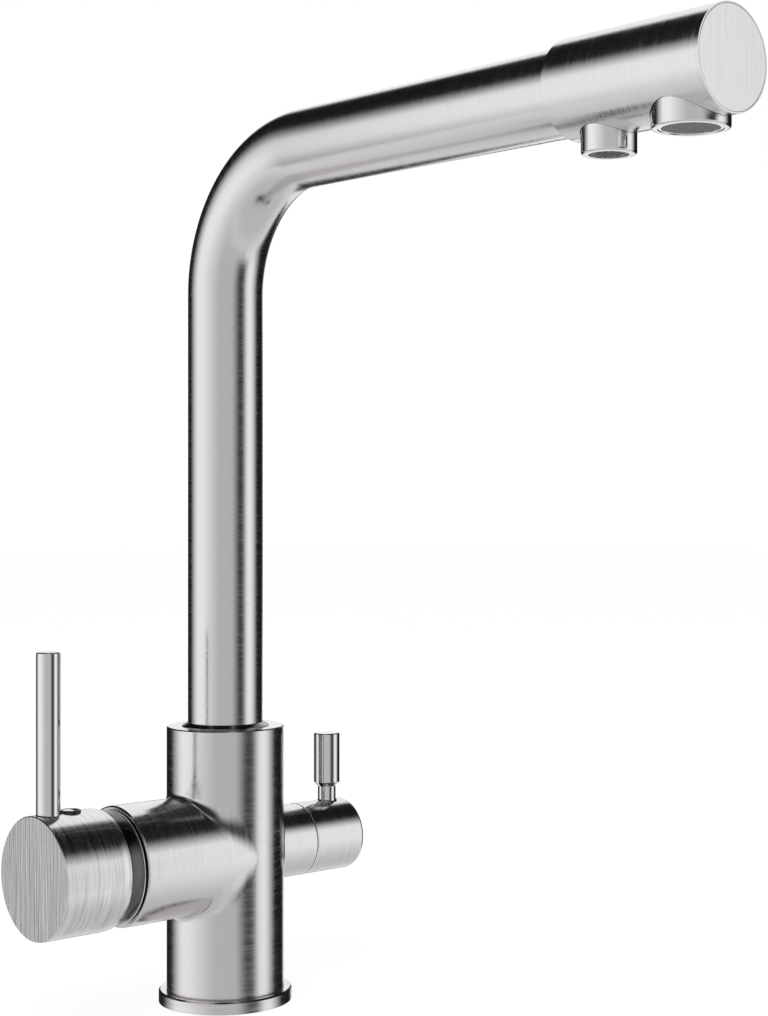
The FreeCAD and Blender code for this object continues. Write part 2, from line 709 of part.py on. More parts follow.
def dome_cover():
    """Ball-shaped sleeve, centred on the lever's pivot, screwed into the arm's mouth."""
    skirt = ARM_MOUTH_DIA / 2 - FIT_GAP
    inside_dia = DOME_DIA - 2 * DOME_WALL
    inner_back = ball_radius(inside_dia, DOME_BACK)
    lip = skirt - DOME_WALL
    back = PIVOT_DISTANCE - DOME_BACK
    return handle_side(lathe([
        (lip, NUT_END),
        (skirt, NUT_END),
        (skirt, back),
        (ball_radius(DOME_DIA, DOME_BACK), back),
        ball_arc(DOME_DIA, PIVOT_DISTANCE, -DOME_BACK, DOME_FRONT),
        (ball_radius(inside_dia, DOME_FRONT), PIVOT_DISTANCE + DOME_FRONT),
        ball_arc(inside_dia, PIVOT_DISTANCE, DOME_FRONT, -DOME_BACK),
        (min(lip, inner_back), back),
    ]))


def handle_shell():
    """Outside of the handle: a cylinder whose rear end draws in to a thin rim."""
    taper_end = HANDLE_RIM + HANDLE_TAPER
    middle_r = HANDLE_R - HANDLE_RIM_INSET / 4
    return handle_side(lathe([
        (0, HANDLE_RIM),
        (HANDLE_RIM_R, HANDLE_RIM),
        (middle_r, HANDLE_RIM + HANDLE_TAPER / 2, HANDLE_R, taper_end),
        (HANDLE_R, HANDLE_FACE - HANDLE_EDGE),
        (HANDLE_R - HANDLE_EDGE, HANDLE_FACE),
        (0, HANDLE_FACE),
    ]))


def handle_hollow():
    """Space for the dome: part of a ball about the pivot, and a round end behind the face."""
    ball_dia = DOME_DIA + 2 * DOME_GAP
    wall_start = HANDLE_FACE - HANDLE_FRONT_WALL
    ball = Part.makeSphere(ball_dia / 2, at_handle(PIVOT_DISTANCE))
    end = rod(HANDLE_CAVITY_DIA, at_handle(PIVOT_DISTANCE), at_handle(wall_start))
    front_half = block(
        at_handle(wall_start, -HANDLE_DIA, -HANDLE_DIA),
        at_handle(HANDLE_RIM - 1, HANDLE_DIA, HANDLE_DIA),
    )
    return ball.fuse(end).common(front_half)


def handle_cap():
    wall_start = HANDLE_FACE - HANDLE_FRONT_WALL
    hub_start = PIVOT_DISTANCE + HUB_BACK
    hub = rod(HUB_DIA, at_handle(hub_start), at_handle(wall_start + 1))
    boss_top = at_handle(INDEX_DISTANCE, 0, HANDLE_R - INDEX_DEPTH)
    screw_boss = rod(HUB_SCREW_BOSS_DIA, at_handle(INDEX_DISTANCE), boss_top)
    half = LEVER_WIDTH / 2 + FIT_GAP
    socket_end = PIVOT_DISTANCE + LEVER_OUTER_LENGTH + END_GAP
    socket = block(at_handle(socket_end, -half, -half), at_handle(hub_start - 1, half, half))
    top = HANDLE_R + 1
    index_floor = HANDLE_R - INDEX_DEPTH
    rod_bottom = HANDLE_R - ROD_SINK
    stud_bottom = rod_bottom - ROD_STUD_LENGTH - END_GAP
    rod_seat = at_handle(ROD_DISTANCE, 0, rod_bottom)
    cuts = [
        socket,
        rod(INDEX_DIA, at_handle(INDEX_DISTANCE, 0, index_floor), at_handle(INDEX_DISTANCE, 0, top)),
        rod(GRUB_DIA, at_handle(INDEX_DISTANCE), at_handle(INDEX_DISTANCE, 0, top)),
        rod(ROD_DIA + 2 * FIT_GAP, rod_seat, at_handle(ROD_DISTANCE, 0, top)),
        rod(ROD_STUD_DIA, at_handle(ROD_DISTANCE, 0, stud_bottom), at_handle(ROD_DISTANCE, 0, top)),
    ]
    shell = handle_shell().cut(handle_hollow())
    return only_solid(shell.fuse([hub, screw_boss]).cut(cuts))


def handle_grub_screw():
    start = LEVER_WIDTH / 2
    mouth = at_handle(INDEX_DISTANCE, 0, start + GRUB_LENGTH)
    screw = rod(GRUB_DIA - 2 * FIT_GAP, at_handle(INDEX_DISTANCE, 0, start), mouth)
    return only_solid(screw.cut(hex_key(mouth, DOWN, GRUB_DIA / 2)))


def hex_key(mouth, inward, across):
    """Hexagon socket of a grub screw, as deep as it is wide."""
    corner = across / math.sqrt(3)
    angles = [math.radians(60 * k) for k in range(6)]
    corners = [point(corner * math.cos(a), corner * math.sin(a), 0) for a in angles]
    wire = Part.makePolygon(corners + corners[:1])
    return placed(Part.Face(wire).extrude(point(0, 0, across)), mouth, inward)


def index_ring():
    floor = HANDLE_R - INDEX_DEPTH
    outer = INDEX_DIA - 2 * FIT_GAP
    ring = sleeve(outer, outer - 2 * INDEX_RING_WALL, floor, HANDLE_R - INDEX_SINK)
    return placed(ring, at_handle(INDEX_DISTANCE), UP)


def index_button():
    """Domed button pressed into the index ring."""
    floor = HANDLE_R - INDEX_DEPTH
    radius = INDEX_DIA / 2 - INDEX_RING_WALL - 2 * FIT_GAP
    shoulder = HANDLE_R - INDEX_SINK - INDEX_DOME
    ball_r = (radius ** 2 + INDEX_DOME ** 2) / (2 * INDEX_DOME)
    half_r = radius / 2
    half_rise = math.sqrt(ball_r ** 2 - half_r ** 2) - (ball_r - INDEX_DOME)
    button = lathe([
        (0, floor),
        (radius, floor),
        (radius, shoulder),
        (half_r, shoulder + half_rise, 0, shoulder + INDEX_DOME),
    ])
    return placed(button, at_handle(INDEX_DISTANCE), UP)


def lever_rod():
    bottom = HANDLE_R - ROD_SINK
    top = HANDLE_R + ROD_HEIGHT
    radius = ROD_DIA / 2
    stud = ROD_STUD_DIA / 2 - FIT_GAP
    lever = lathe([
        (0, bottom - ROD_STUD_LENGTH),
        (stud, bottom - ROD_STUD_LENGTH),
        (stud, bottom),
        (radius, bottom),
        (radius, top - ROD_EDGE),
        (radius - ROD_EDGE, top),
        (0, top),
    ])
    return placed(lever, at_handle(ROD_DISTANCE), UP)


def valve_seal():
    return valve_side(sleeve(VALVE_DISC_DIA, VALVE_PORT_DIA, VALVE_SEAT, VALVE_BED))


def valve_bushing():
    """Brass body of the filter valve, with two side windows for the water."""
    body = VALVE_BODY_DIA / 2
    thread = VALVE_BORE_DIA / 2 - FIT_GAP
    flange = KNOB_CAVITY_R - VALVE_FLANGE_GAP
    neck = VALVE_NECK_DIA / 2
    chamber = VALVE_DISC_DIA / 2 + RUNNING_GAP
    bore = SPINDLE_DIA / 2 + RUNNING_GAP
    thread_start = BOSS_LENGTH - VALVE_THREAD_LENGTH
    flange_end = BOSS_LENGTH + VALVE_FLANGE_THICKNESS
    chamber_end = DRIVER_END + END_GAP
    bushing = valve_side(lathe([
        (chamber, VALVE_BED),
        (body, VALVE_BED),
        (body, thread_start),
        (thread, thread_start),
        (thread, BOSS_LENGTH),
        (flange, BOSS_LENGTH),
        (flange, flange_end),
        (neck, flange_end),
        (neck, VALVE_NECK_END),
        (bore, VALVE_NECK_END),
        (bore, chamber_end),
        (chamber, chamber_end),
    ]))
    half = VALVE_WINDOW_WIDTH / 2
    windows = block(at_valve(VALVE_PLANE, -half, -body), at_valve(DRIVER_END, half, body))
    return only_solid(bushing.cut(windows))


def sectors(inner, outer, start, end, angle, first):
    """Two facing sectors of a ring about the valve's axis; the first one is centred on an angle."""
    pair = []
    for centre in (first, first + 180):
        ring = sleeve(outer, inner, start, end)
        wedge = Part.makeCylinder(outer, end - start, point(0, 0, start), UP, angle)
        wedge.rotate(point(0, 0, 0), UP, centre - angle / 2)
        pair.append(valve_side(ring.common(wedge)))
    return pair


def valve_fixed_disc():
    disc = rod(VALVE_DISC_DIA, at_valve(VALVE_BED), at_valve(VALVE_PLANE))
    ports = sectors(VALVE_HUB_DIA, VALVE_PORT_DIA, VALVE_BED, VALVE_PLANE, VALVE_PORT_ANGLE, 0)
    return only_solid(disc.cut(ports))


def valve_moving_disc():
    """Bow-tie disc, drawn closed; a quarter turn opens it to the bushing's windows."""
    start = VALVE_PLANE + DISC_FILM
    disc = rod(VALVE_DISC_DIA, at_valve(start), at_valve(SPINDLE_START))
    wide = 2 * VALVE_DISC_DIA
    openings = sectors(VALVE_HUB_DIA, wide, start, SPINDLE_START, VALVE_PORT_ANGLE, 90)
    return only_solid(disc.cut(openings))


def valve_spindle():
    """Driver plate, shaft with two seal grooves and a clip groove, and a flat end for the knob."""
    driver = VALVE_DISC_DIA / 2
    shaft = SPINDLE_DIA / 2
    groove = shaft - SPINDLE_RING_SECTION + RUNNING_GAP / 2
    clip_start = VALVE_NECK_END + END_GAP
    clip_r = shaft - CLIP_THICKNESS
    outline = [(0, SPINDLE_START), (driver, SPINDLE_START), (driver, DRIVER_END), (shaft, DRIVER_END)]
    half = SPINDLE_RING_SECTION / 2 + FIT_GAP
    for middle in spindle_ring_places():
        outline += [(shaft, middle - half), (groove, middle - half)]
        outline += [(groove, middle + half), (shaft, middle + half)]
    outline += [(shaft, clip_start), (clip_r, clip_start)]
    outline += [(clip_r, clip_start + CLIP_THICKNESS), (shaft, clip_start + CLIP_THICKNESS)]
    outline += [(shaft, SPINDLE_END), (0, SPINDLE_END)]
    lug_foot = SPINDLE_START - VALVE_LUG_HEIGHT
    lug_dia = VALVE_DISC_DIA - 2 * SLIDE_GAP
    lugs = sectors(VALVE_LUG_DIA, lug_dia, lug_foot, SPINDLE_START, VALVE_LUG_ANGLE, 90)
    spindle = valve_side(lathe(outline)).fuse(lugs)
    flat = block(
        at_valve(knob_hub_start(), -shaft, -shaft - 1),
        at_valve(SPINDLE_END + 1, shaft, -SPINDLE_FLAT),
    )
    return only_solid(spindle.cut(flat))


def spindle_ring_places():
    """Heights of the spindle's two seals inside the bushing."""
    span = VALVE_NECK_END - DRIVER_END
    return (DRIVER_END + span / 3, DRIVER_END + 2 * span / 3)


def knob_hub_start():
    return KNOB_START + KNOB_CAVITY_DEPTH


def spindle_o_rings():
    inside = SPINDLE_DIA - 2 * SPINDLE_RING_SECTION + RUNNING_GAP
    rings = [ring_cord(SPINDLE_RING_SECTION, inside, place) for place in spindle_ring_places()]
    return Part.makeCompound([valve_side(ring) for ring in rings])


def spindle_clip():
    """Open snap ring that keeps the spindle in its bushing."""
    start = VALVE_NECK_END + END_GAP
    inside = SPINDLE_DIA - 2 * CLIP_THICKNESS + 2 * FIT_GAP
    clip = valve_side(sleeve(CLIP_DIA, inside, start + FIT_GAP, start + CLIP_THICKNESS - FIT_GAP))
    gap = CLIP_THICKNESS
    opening = block(at_valve(start, -gap, 0), at_valve(start + gap, gap, CLIP_DIA))
    return only_solid(clip.cut(opening))


def filter_knob():
    outer = KNOB_DIA / 2
    hub_start = knob_hub_start()
    corner = outer - KNOB_EDGE
    edge_mid = KNOB_EDGE * (1 - math.sqrt(0.5))
    knob = valve_side(lathe([
        (KNOB_CAVITY_R, KNOB_START),
        (outer, KNOB_START),
        (outer, KNOB_END - KNOB_EDGE),
        (outer - edge_mid, KNOB_END - edge_mid, corner, KNOB_END),
        (0, KNOB_END),
        (0, hub_start),
        (KNOB_CAVITY_R, hub_start),
    ]))
    shaft = SPINDLE_DIA / 2 + FIT_GAP
    socket = rod(2 * shaft, at_valve(hub_start - 1), at_valve(SPINDLE_END + END_GAP))
    flat = block(
        at_valve(hub_start - 2, -shaft, -shaft - 1),
        at_valve(SPINDLE_END + 1, shaft, -SPINDLE_FLAT - FIT_GAP),
    )
    top = KNOB_DIA / 2
    seat = top - ROD_SINK
    stud_bottom = seat - KNOB_LEVER_STUD_LENGTH - END_GAP
    neck_dia = KNOB_LEVER_NECK_DIA + 2 * FIT_GAP
    x = KNOB_LEVER_DISTANCE
    cuts = [
        socket.cut(flat),
        rod(neck_dia, at_valve(x, 0, seat), at_valve(x, 0, top + 1)),
        rod(KNOB_LEVER_STUD_DIA, at_valve(x, 0, stud_bottom), at_valve(x, 0, top + 1)),
        rod(KNOB_SCREW_DIA, at_valve(x), at_valve(x, 0, -top - 1)),
    ]
    return only_solid(knob.cut(cuts))


def knob_lever():
    """Turned lever: a thin neck and a thicker grip."""
    neck = KNOB_LEVER_NECK_DIA / 2
    grip = KNOB_LEVER_GRIP_DIA / 2
    stud = KNOB_LEVER_STUD_DIA / 2 - FIT_GAP
    seat = KNOB_DIA / 2 - ROD_SINK
    grip_start = KNOB_DIA / 2 + KNOB_LEVER_NECK_LENGTH
    top = grip_start + KNOB_LEVER_GRIP_LENGTH
    lever = lathe([
        (0, seat - KNOB_LEVER_STUD_LENGTH),
        (stud, seat - KNOB_LEVER_STUD_LENGTH),
        (stud, seat),
        (neck, seat),
        (neck, grip_start),
        (grip, grip_start + KNOB_LEVER_SHOULDER),
        (grip, top - ROD_EDGE),
        (grip - ROD_EDGE, top),
        (0, top),
    ])
    return placed(lever, at_valve(KNOB_LEVER_DISTANCE), UP)


def knob_grub_screw():
    start = SPINDLE_FLAT
    x = KNOB_LEVER_DISTANCE
    end = at_valve(x, 0, -start - KNOB_SCREW_LENGTH)
    screw = rod(KNOB_SCREW_DIA - 2 * FIT_GAP, at_valve(x, 0, -start), end)
    return only_solid(screw.cut(hex_key(end, UP, KNOB_SCREW_DIA / 2)))


def retainer_height():
    return COLUMN_HEIGHT - SPOUT_RING_DEPTH - SPOUT_RING_SPACING / 2


def spout_ring_places():
    high = COLUMN_HEIGHT - SPOUT_RING_DEPTH
    return (high - SPOUT_RING_SPACING, high)


def spout_foot():
    """Brass foot that turns in the column and is brazed into the tube."""
    outer = SPOUT_FOOT_DIA / 2
    bore = outer - SPOUT_FOOT_WALL
    insert = TUBE_DIA / 2 - TUBE_WALL - FIT_GAP
    foot = sleeve(2 * outer, 2 * bore, SPOUT_FOOT_BOTTOM, TUBE_START)
    plug = sleeve(2 * insert, 2 * bore, TUBE_START, TUBE_START + SPOUT_FOOT_INSERT)
    groove_dia = SPOUT_FOOT_DIA - 2 * SPOUT_RING_SECTION + RUNNING_GAP
    cuts = []
    for middle in spout_ring_places():
        half = SPOUT_RING_SECTION / 2 + FIT_GAP
        cuts.append(sleeve(SPOUT_FOOT_DIA + 2, groove_dia, middle - half, middle + half))
    retainer = retainer_height()
    half = RETAINER_THICKNESS / 2 + FIT_GAP
    seat_dia = retainer_outer_dia() - 2 * RETAINER_WIDTH - 2 * FIT_GAP
    cuts.append(sleeve(SPOUT_FOOT_DIA + 2, seat_dia, retainer - half, retainer + half))
    return only_solid(foot.fuse(plug).cut(cuts))


def retainer_outer_dia():
    return 2 * (SPOUT_BORE_R + RETAINER_ENTRY - SLIDE_GAP)


def retaining_ring():
    """Open snap ring in the foot's groove that enters the column's groove."""
    outer = retainer_outer_dia()
    half = RETAINER_THICKNESS / 2
    middle = retainer_height()
    ring = sleeve(outer, outer - 2 * RETAINER_WIDTH, middle - half, middle + half)
    gap = RETAINER_GAP_WIDTH / 2
    opening = block(point(-gap, 0, middle - half), point(gap, outer, middle + half))
    return only_solid(ring.cut(opening))


def spout_o_rings():
    inside = SPOUT_FOOT_DIA - 2 * SPOUT_RING_SECTION + RUNNING_GAP
    rings = [ring_cord(SPOUT_RING_SECTION, inside, place) for place in spout_ring_places()]
    return Part.makeCompound(rings)


def bent_pipe(outer, inner, start_height, end_distance):
    """Pipe that rises on the column's axis, bends once and runs on towards the front."""
    base = point(0, 0, start_height)
    disc = Part.Face(Part.Wire(Part.makeCircle(outer / 2, base, UP)))
    hole = Part.Face(Part.Wire(Part.makeCircle(inner / 2, base, UP)))
    section = disc.cut(hole)
    rise = SPOUT_HEIGHT - BEND_RADIUS - start_height
    upright = section.extrude(point(0, 0, rise))
    section.translate(point(0, 0, rise))
    centre = point(0, -BEND_RADIUS, SPOUT_HEIGHT - BEND_RADIUS)
    bend = section.revolve(centre, point(1, 0, 0), 90)
    section.rotate(centre, point(1, 0, 0), 90)
    level = section.extrude(TO_FRONT * (end_distance - BEND_RADIUS))
    return only_solid(upright.fuse([bend, level]))


def spout_tube():
    return bent_pipe(TUBE_DIA, TUBE_DIA - 2 * TUBE_WALL, TUBE_START, TUBE_END)


def filter_hose():
    start = SPOUT_FLOOR + HOSE_FLANGE_GAP + HOSE_FLANGE_THICKNESS
    end = SPOUT_REACH - ELBOW_DIA / 2 - HOSE_FLANGE_GAP
    return bent_pipe(HOSE_DIA, HOSE_DIA - 2 * HOSE_WALL, start, end)


def hose_plug():
    """Plug that turns in the column's middle socket, with a barb for the hose."""
    radius = HOSE_PLUG_DIA / 2
    bore = HOSE_PLUG_BORE_DIA / 2
    barb = HOSE_DIA / 2 - HOSE_WALL - FIT_GAP
    bottom = SPOUT_FLOOR - HOSE_SOCKET_DEPTH + HOSE_SUMP_HEIGHT
    flange = SPOUT_FLOOR + HOSE_FLANGE_GAP
    flange_top = flange + HOSE_FLANGE_THICKNESS
    top = flange_top + HOSE_BARB_LENGTH
    half = HOSE_RING_SECTION / 2 + FIT_GAP
    groove = radius - HOSE_RING_SECTION + RUNNING_GAP / 2
    middle = hose_ring_height()
    return lathe([
        (bore, bottom),
        (radius, bottom),
        (radius, middle - half),
        (groove, middle - half),
        (groove, middle + half),
        (radius, middle + half),
        (radius, flange),
        (HOSE_FLANGE_DIA / 2, flange),
        (HOSE_FLANGE_DIA / 2, flange_top),
        (barb, flange_top),
        (barb, top),
        (bore, top),
    ])


def hose_ring_height():
    return SPOUT_FLOOR - (HOSE_SOCKET_DEPTH - HOSE_SUMP_HEIGHT) / 2


def hose_plug_o_ring():
    inside = HOSE_PLUG_DIA - 2 * HOSE_RING_SECTION + RUNNING_GAP
    return ring_cord(HOSE_RING_SECTION, inside, hose_ring_height())


def outlet_hole(reach, dia, neck_dia):
    """Room in the head for an outlet: a socket from below and the hole for its neck."""
    seat = at_head(reach, 0, -OUTLET_SEAT_DROP)
    below = at_head(reach, 0, -HEAD_DIA)
    socket = rod(dia + 2 * OUTLET_SEAM, below, seat)
    return [socket, rod(neck_dia + 2 * FIT_GAP, below, at_head(reach))]


def spout_head():
    radius = HEAD_DIA / 2
    cap_bed = HEAD_END - CAP_THICKNESS
    tube_socket = TUBE_DIA / 2 + FIT_GAP
    way = HEAD_WATERWAY_DIA / 2
    cap_r = radius - CAP_RIM + FIT_GAP
    head = head_side(lathe([
        (tube_socket, HEAD_START),
        (radius - HEAD_REAR_EDGE, HEAD_START),
        (radius, HEAD_START + HEAD_REAR_EDGE),
        (radius, HEAD_END),
        (cap_r, HEAD_END),
        (cap_r, cap_bed),
        (way, cap_bed),
        (way, TUBE_END),
        (tube_socket, TUBE_END),
    ]))
    cuts = outlet_hole(SPOUT_REACH, SMALL_OUTLET_DIA, SMALL_NECK_DIA)
    cuts += outlet_hole(LARGE_OUTLET_REACH, LARGE_OUTLET_DIA, LARGE_NECK_DIA)
    return only_solid(head.cut(cuts))


def head_end_cap():
    plate = HEAD_DIA / 2 - CAP_RIM
    plug = HEAD_WATERWAY_DIA / 2 - FIT_GAP
    bed = HEAD_END - CAP_THICKNESS
    edge = SCREEN_RECESS
    return head_side(lathe([
        (0, bed - CAP_PLUG_LENGTH),
        (plug, bed - CAP_PLUG_LENGTH),
        (plug, bed),
        (plate, bed),
        (plate, HEAD_END - edge),
        (plate - edge, HEAD_END),
        (0, HEAD_END),
    ]))


def outlet_collar(reach, dia, drop, neck_dia, neck_length, insert_dia, insert_depth, bore_dia):
    """Outlet turned from bar: a neck in the head and a pocket for the insert, open below."""
    outer = dia / 2
    pocket = insert_dia / 2 + FIT_GAP
    neck = neck_dia / 2
    bore = bore_dia / 2
    seat = -OUTLET_SEAT_DROP
    top = seat + neck_length
    pocket_top = insert_depth - drop
    edge_mid = OUTLET_EDGE * (1 - math.sqrt(0.5))
    collar = lathe([
        (pocket, -drop),
        (outer - OUTLET_EDGE, -drop),
        (outer - edge_mid, edge_mid - drop, outer, OUTLET_EDGE - drop),
        (outer, seat),
        (neck, seat),
        (neck, top),
        (bore, top),
        (bore, pocket_top),
        (pocket, pocket_top),
    ])
    return placed(collar, at_head(reach), UP)


def small_outlet():
    return outlet_collar(
        SPOUT_REACH, SMALL_OUTLET_DIA, SMALL_OUTLET_DROP, SMALL_NECK_DIA,
        SMALL_NECK_LENGTH, SMALL_INSERT_DIA, SMALL_INSERT_DEPTH, SMALL_BORE_DIA,
    )


def aerator_stack():
    """Depth of the large outlet's pocket: screen, aerator and seal."""
    return SCREEN_RECESS + SCREEN_THICKNESS + AERATOR_HEIGHT + AERATOR_SEAL_THICKNESS


def large_outlet():
    return outlet_collar(
        LARGE_OUTLET_REACH, LARGE_OUTLET_DIA, LARGE_OUTLET_DROP, LARGE_NECK_DIA,
        LARGE_NECK_LENGTH, LARGE_INSERT_DIA, aerator_stack(), LARGE_BORE_DIA,
    )


def sieve(dia, start, end):
    """Round plate with holes on a triangular pitch, as many as its rim leaves room for."""
    plate = Part.makeCylinder(dia / 2, end - start, point(0, 0, start))
    reach = dia / 2 - SCREEN_HOLE_DIA
    rows = int(dia / SCREEN_PITCH)
    row_step = SCREEN_PITCH * math.sqrt(0.75)
    holes = []
    for row in range(-rows, rows + 1):
        for column in range(-rows, rows + 1):
            x = (column + row % 2 / 2) * SCREEN_PITCH
            y = row * row_step
            if math.hypot(x, y) < reach:
                holes.append(Part.makeCylinder(SCREEN_HOLE_DIA / 2, end - start, point(x, y, start)))
    return only_solid(plate.cut(holes))


def small_screen():
    """Flow straightener of the filtered-water outlet: a sieve on a short sleeve."""
    dia = SMALL_INSERT_DIA
    bottom = SCREEN_RECESS - SMALL_OUTLET_DROP
    screen_top = bottom + SCREEN_THICKNESS
    top = SMALL_INSERT_DEPTH - SMALL_OUTLET_DROP
    body = sleeve(dia, dia - 2 * AERATOR_WALL, screen_top, top)
    screen = only_solid(sieve(dia, bottom, screen_top).fuse(body))
    return placed(screen, at_head(SPOUT_REACH), UP)


def aerator_screen():
    bottom = SCREEN_RECESS - LARGE_OUTLET_DROP
    plate = sieve(LARGE_INSERT_DIA, bottom, bottom + SCREEN_THICKNESS)
    return placed(plate, at_head(LARGE_OUTLET_REACH), UP)


def aerator_body():
    """Plastic cup above the screen, with a ring of jets in its top plate."""
    start = SCREEN_RECESS + SCREEN_THICKNESS - LARGE_OUTLET_DROP
    top = start + AERATOR_HEIGHT
    outer = LARGE_INSERT_DIA / 2
    plate = top - AERATOR_WALL
    body = lathe([
        (outer - AERATOR_WALL, start),
        (outer, start),
        (outer, top),
        (0, top),
        (0, plate),
        (outer - AERATOR_WALL, plate),
    ])
    jets = []
    for index in range(AERATOR_JETS):
        angle = math.radians(360 * index / AERATOR_JETS)
        centre = point(outer / 3 * math.cos(angle), outer / 3 * math.sin(angle), plate)
        jets.append(Part.makeCylinder(AERATOR_WALL / 2, AERATOR_WALL, centre))
    return placed(only_solid(body.cut(jets)), at_head(LARGE_OUTLET_REACH), UP)


def aerator_seal():
    start = aerator_stack() - AERATOR_SEAL_THICKNESS - LARGE_OUTLET_DROP
    inner = LARGE_BORE_DIA
    seal = sleeve(LARGE_INSERT_DIA, inner, start, start + AERATOR_SEAL_THICKNESS)
    return placed(seal, at_head(LARGE_OUTLET_REACH), UP)


def outlet_elbow():
    """Fitting that takes the hose's end and turns the filtered water into the small outlet."""
    centre = SPOUT_REACH
    post = rod(ELBOW_DIA, at_head(centre, 0, ELBOW_FOOT), at_head(centre, 0, ELBOW_TOP))
    barb_dia = HOSE_DIA - 2 * HOSE_WALL - 2 * FIT_GAP
    barb_end = at_head(centre - ELBOW_DIA / 2 - ELBOW_BARB_LENGTH)
    barb = rod(barb_dia, at_head(centre), barb_end)
    cuts = [
        rod(HOSE_PLUG_BORE_DIA, at_head(centre), barb_end),
        rod(SMALL_BORE_DIA, at_head(centre, 0, ELBOW_FOOT), at_head(centre, 0, HOSE_PLUG_BORE_DIA / 2)),
    ]
    return only_solid(post.fuse(barb).cut(cuts))


PARTS = {
    "base_ring": base_ring,
    "base_gasket": base_gasket,
    "body_casting": body_casting,
    "seat_ring": seat_ring,
    "cartridge_seals": cartridge_seals,
    "cartridge_base": cartridge_base,
    "fixed_disc": fixed_disc,
    "cartridge_housing": cartridge_housing,
    "cartridge_nut": cartridge_nut,
    "dome_cover": dome_cover,
    "valve_seal": valve_seal,
    "valve_bushing": valve_bushing,
    "valve_fixed_disc": valve_fixed_disc,
    "lever_fork": lever_fork,
    "pivot_pin": pivot_pin,
    "disc_carrier": disc_carrier,
    "moving_disc": moving_disc,
    "cartridge_lever": cartridge_lever,
    "handle_cap": handle_cap,
    "handle_grub_screw": handle_grub_screw,
    "index_ring": index_ring,
    "index_button": index_button,
    "lever_rod": lever_rod,
    "spout_foot": spout_foot,
    "spout_o_rings": spout_o_rings,
    "retaining_ring": retaining_ring,
    "spout_tube": spout_tube,
    "filter_hose": filter_hose,
    "hose_plug": hose_plug,
    "hose_plug_o_ring": hose_plug_o_ring,
    "spout_head": spout_head,
    "head_end_cap": head_end_cap,
    "small_outlet": small_outlet,
    "small_screen": small_screen,
    "large_outlet": large_outlet,
    "aerator_seal": aerator_seal,
    "aerator_body": aerator_body,
    "aerator_screen": aerator_screen,
    "outlet_elbow": outlet_elbow,
    "valve_spindle": valve_spindle,
    "valve_moving_disc": valve_moving_disc,
    "spindle_o_rings": spindle_o_rings,
    "spindle_clip": spindle_clip,
    "filter_knob": filter_knob,
    "knob_lever": knob_lever,
    "knob_grub_screw": knob_grub_screw,
}

os.makedirs("parts", exist_ok=True)
for name, make in PARTS.items():
    shape = make()
    shape.exportStep("parts/" + name + ".step")
    print(name, len(shape.Solids), "solids, valid:", shape.isValid(), round(shape.Volume, 1), "mm3")
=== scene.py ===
import bpy
import bmesh
import math
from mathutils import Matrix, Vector


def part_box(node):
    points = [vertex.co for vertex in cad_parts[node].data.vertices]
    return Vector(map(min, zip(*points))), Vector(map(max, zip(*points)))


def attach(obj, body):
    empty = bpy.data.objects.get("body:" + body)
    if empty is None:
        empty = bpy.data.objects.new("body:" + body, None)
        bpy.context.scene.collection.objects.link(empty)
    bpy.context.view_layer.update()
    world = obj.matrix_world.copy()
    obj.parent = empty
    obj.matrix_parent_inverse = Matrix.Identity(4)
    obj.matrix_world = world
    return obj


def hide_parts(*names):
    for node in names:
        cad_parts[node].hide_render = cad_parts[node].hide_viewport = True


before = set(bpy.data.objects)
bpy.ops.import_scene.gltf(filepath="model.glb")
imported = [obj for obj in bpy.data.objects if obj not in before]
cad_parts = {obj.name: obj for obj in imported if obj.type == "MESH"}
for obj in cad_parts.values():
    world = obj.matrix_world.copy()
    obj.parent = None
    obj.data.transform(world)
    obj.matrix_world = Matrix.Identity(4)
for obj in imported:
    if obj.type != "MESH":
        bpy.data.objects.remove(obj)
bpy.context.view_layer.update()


# Base ring and its gasket. A turned stainless ring lies on the worktop round the column's foot.
# Its side and top are brushed in fine rings about the column's axis, and a flat moulded rubber
# gasket is pressed into its underside.
class Signal:
    """One value in a node tree; sums, differences, products and comparisons add Math nodes."""

    def __init__(self, tree, socket):
        self.tree = tree
        self.socket = socket

    def node(self, kind, settings, inputs, output=0):
        """Add a node: its settings first, then the values or links of its sockets."""
        made = self.tree.nodes.new(kind)
        for name, value in settings.items():
            setattr(made, name, value)
        for key, value in inputs.items():
            if isinstance(value, Signal):
                self.tree.links.new(value.socket, made.inputs[key])
            else:
                made.inputs[key].default_value = value
        return Signal(self.tree, made.outputs[output])

    def maths(self, operation, first, second=0.0):
        return self.node("ShaderNodeMath", {"operation": operation}, {0: first, 1: second})

    def __add__(self, other):
        return self.maths("ADD", self, other)

    __radd__ = __add__

    def __sub__(self, other):
        return self.maths("SUBTRACT", self, other)

    def __rsub__(self, other):
        return self.maths("SUBTRACT", other, self)

    def __mul__(self, other):
        return self.maths("MULTIPLY", self, other)

    __rmul__ = __mul__

    def __gt__(self, other):
        return self.maths("GREATER_THAN", self, other)

    def __lt__(self, other):
        return self.maths("LESS_THAN", self, other)

    def part(self, axis):
        """One coordinate of a vector."""
        return self.node("ShaderNodeSeparateXYZ", {}, {0: self}, output=axis)

    def from_upright(self):
        """Distance from the upright line through the origin."""
        side = self.part(0)
        front = self.part(1)
        return self.maths("SQRT", side * side + front * front)


def new_material(name):
    """Material, its shader and the piece's own coordinates in metres."""
    made = bpy.data.materials.new(name)
    made.use_nodes = True
    tree = made.node_tree
    place = Signal(tree, tree.nodes.new("ShaderNodeTexCoord").outputs["Object"])
    return made, tree.nodes["Principled BSDF"], place


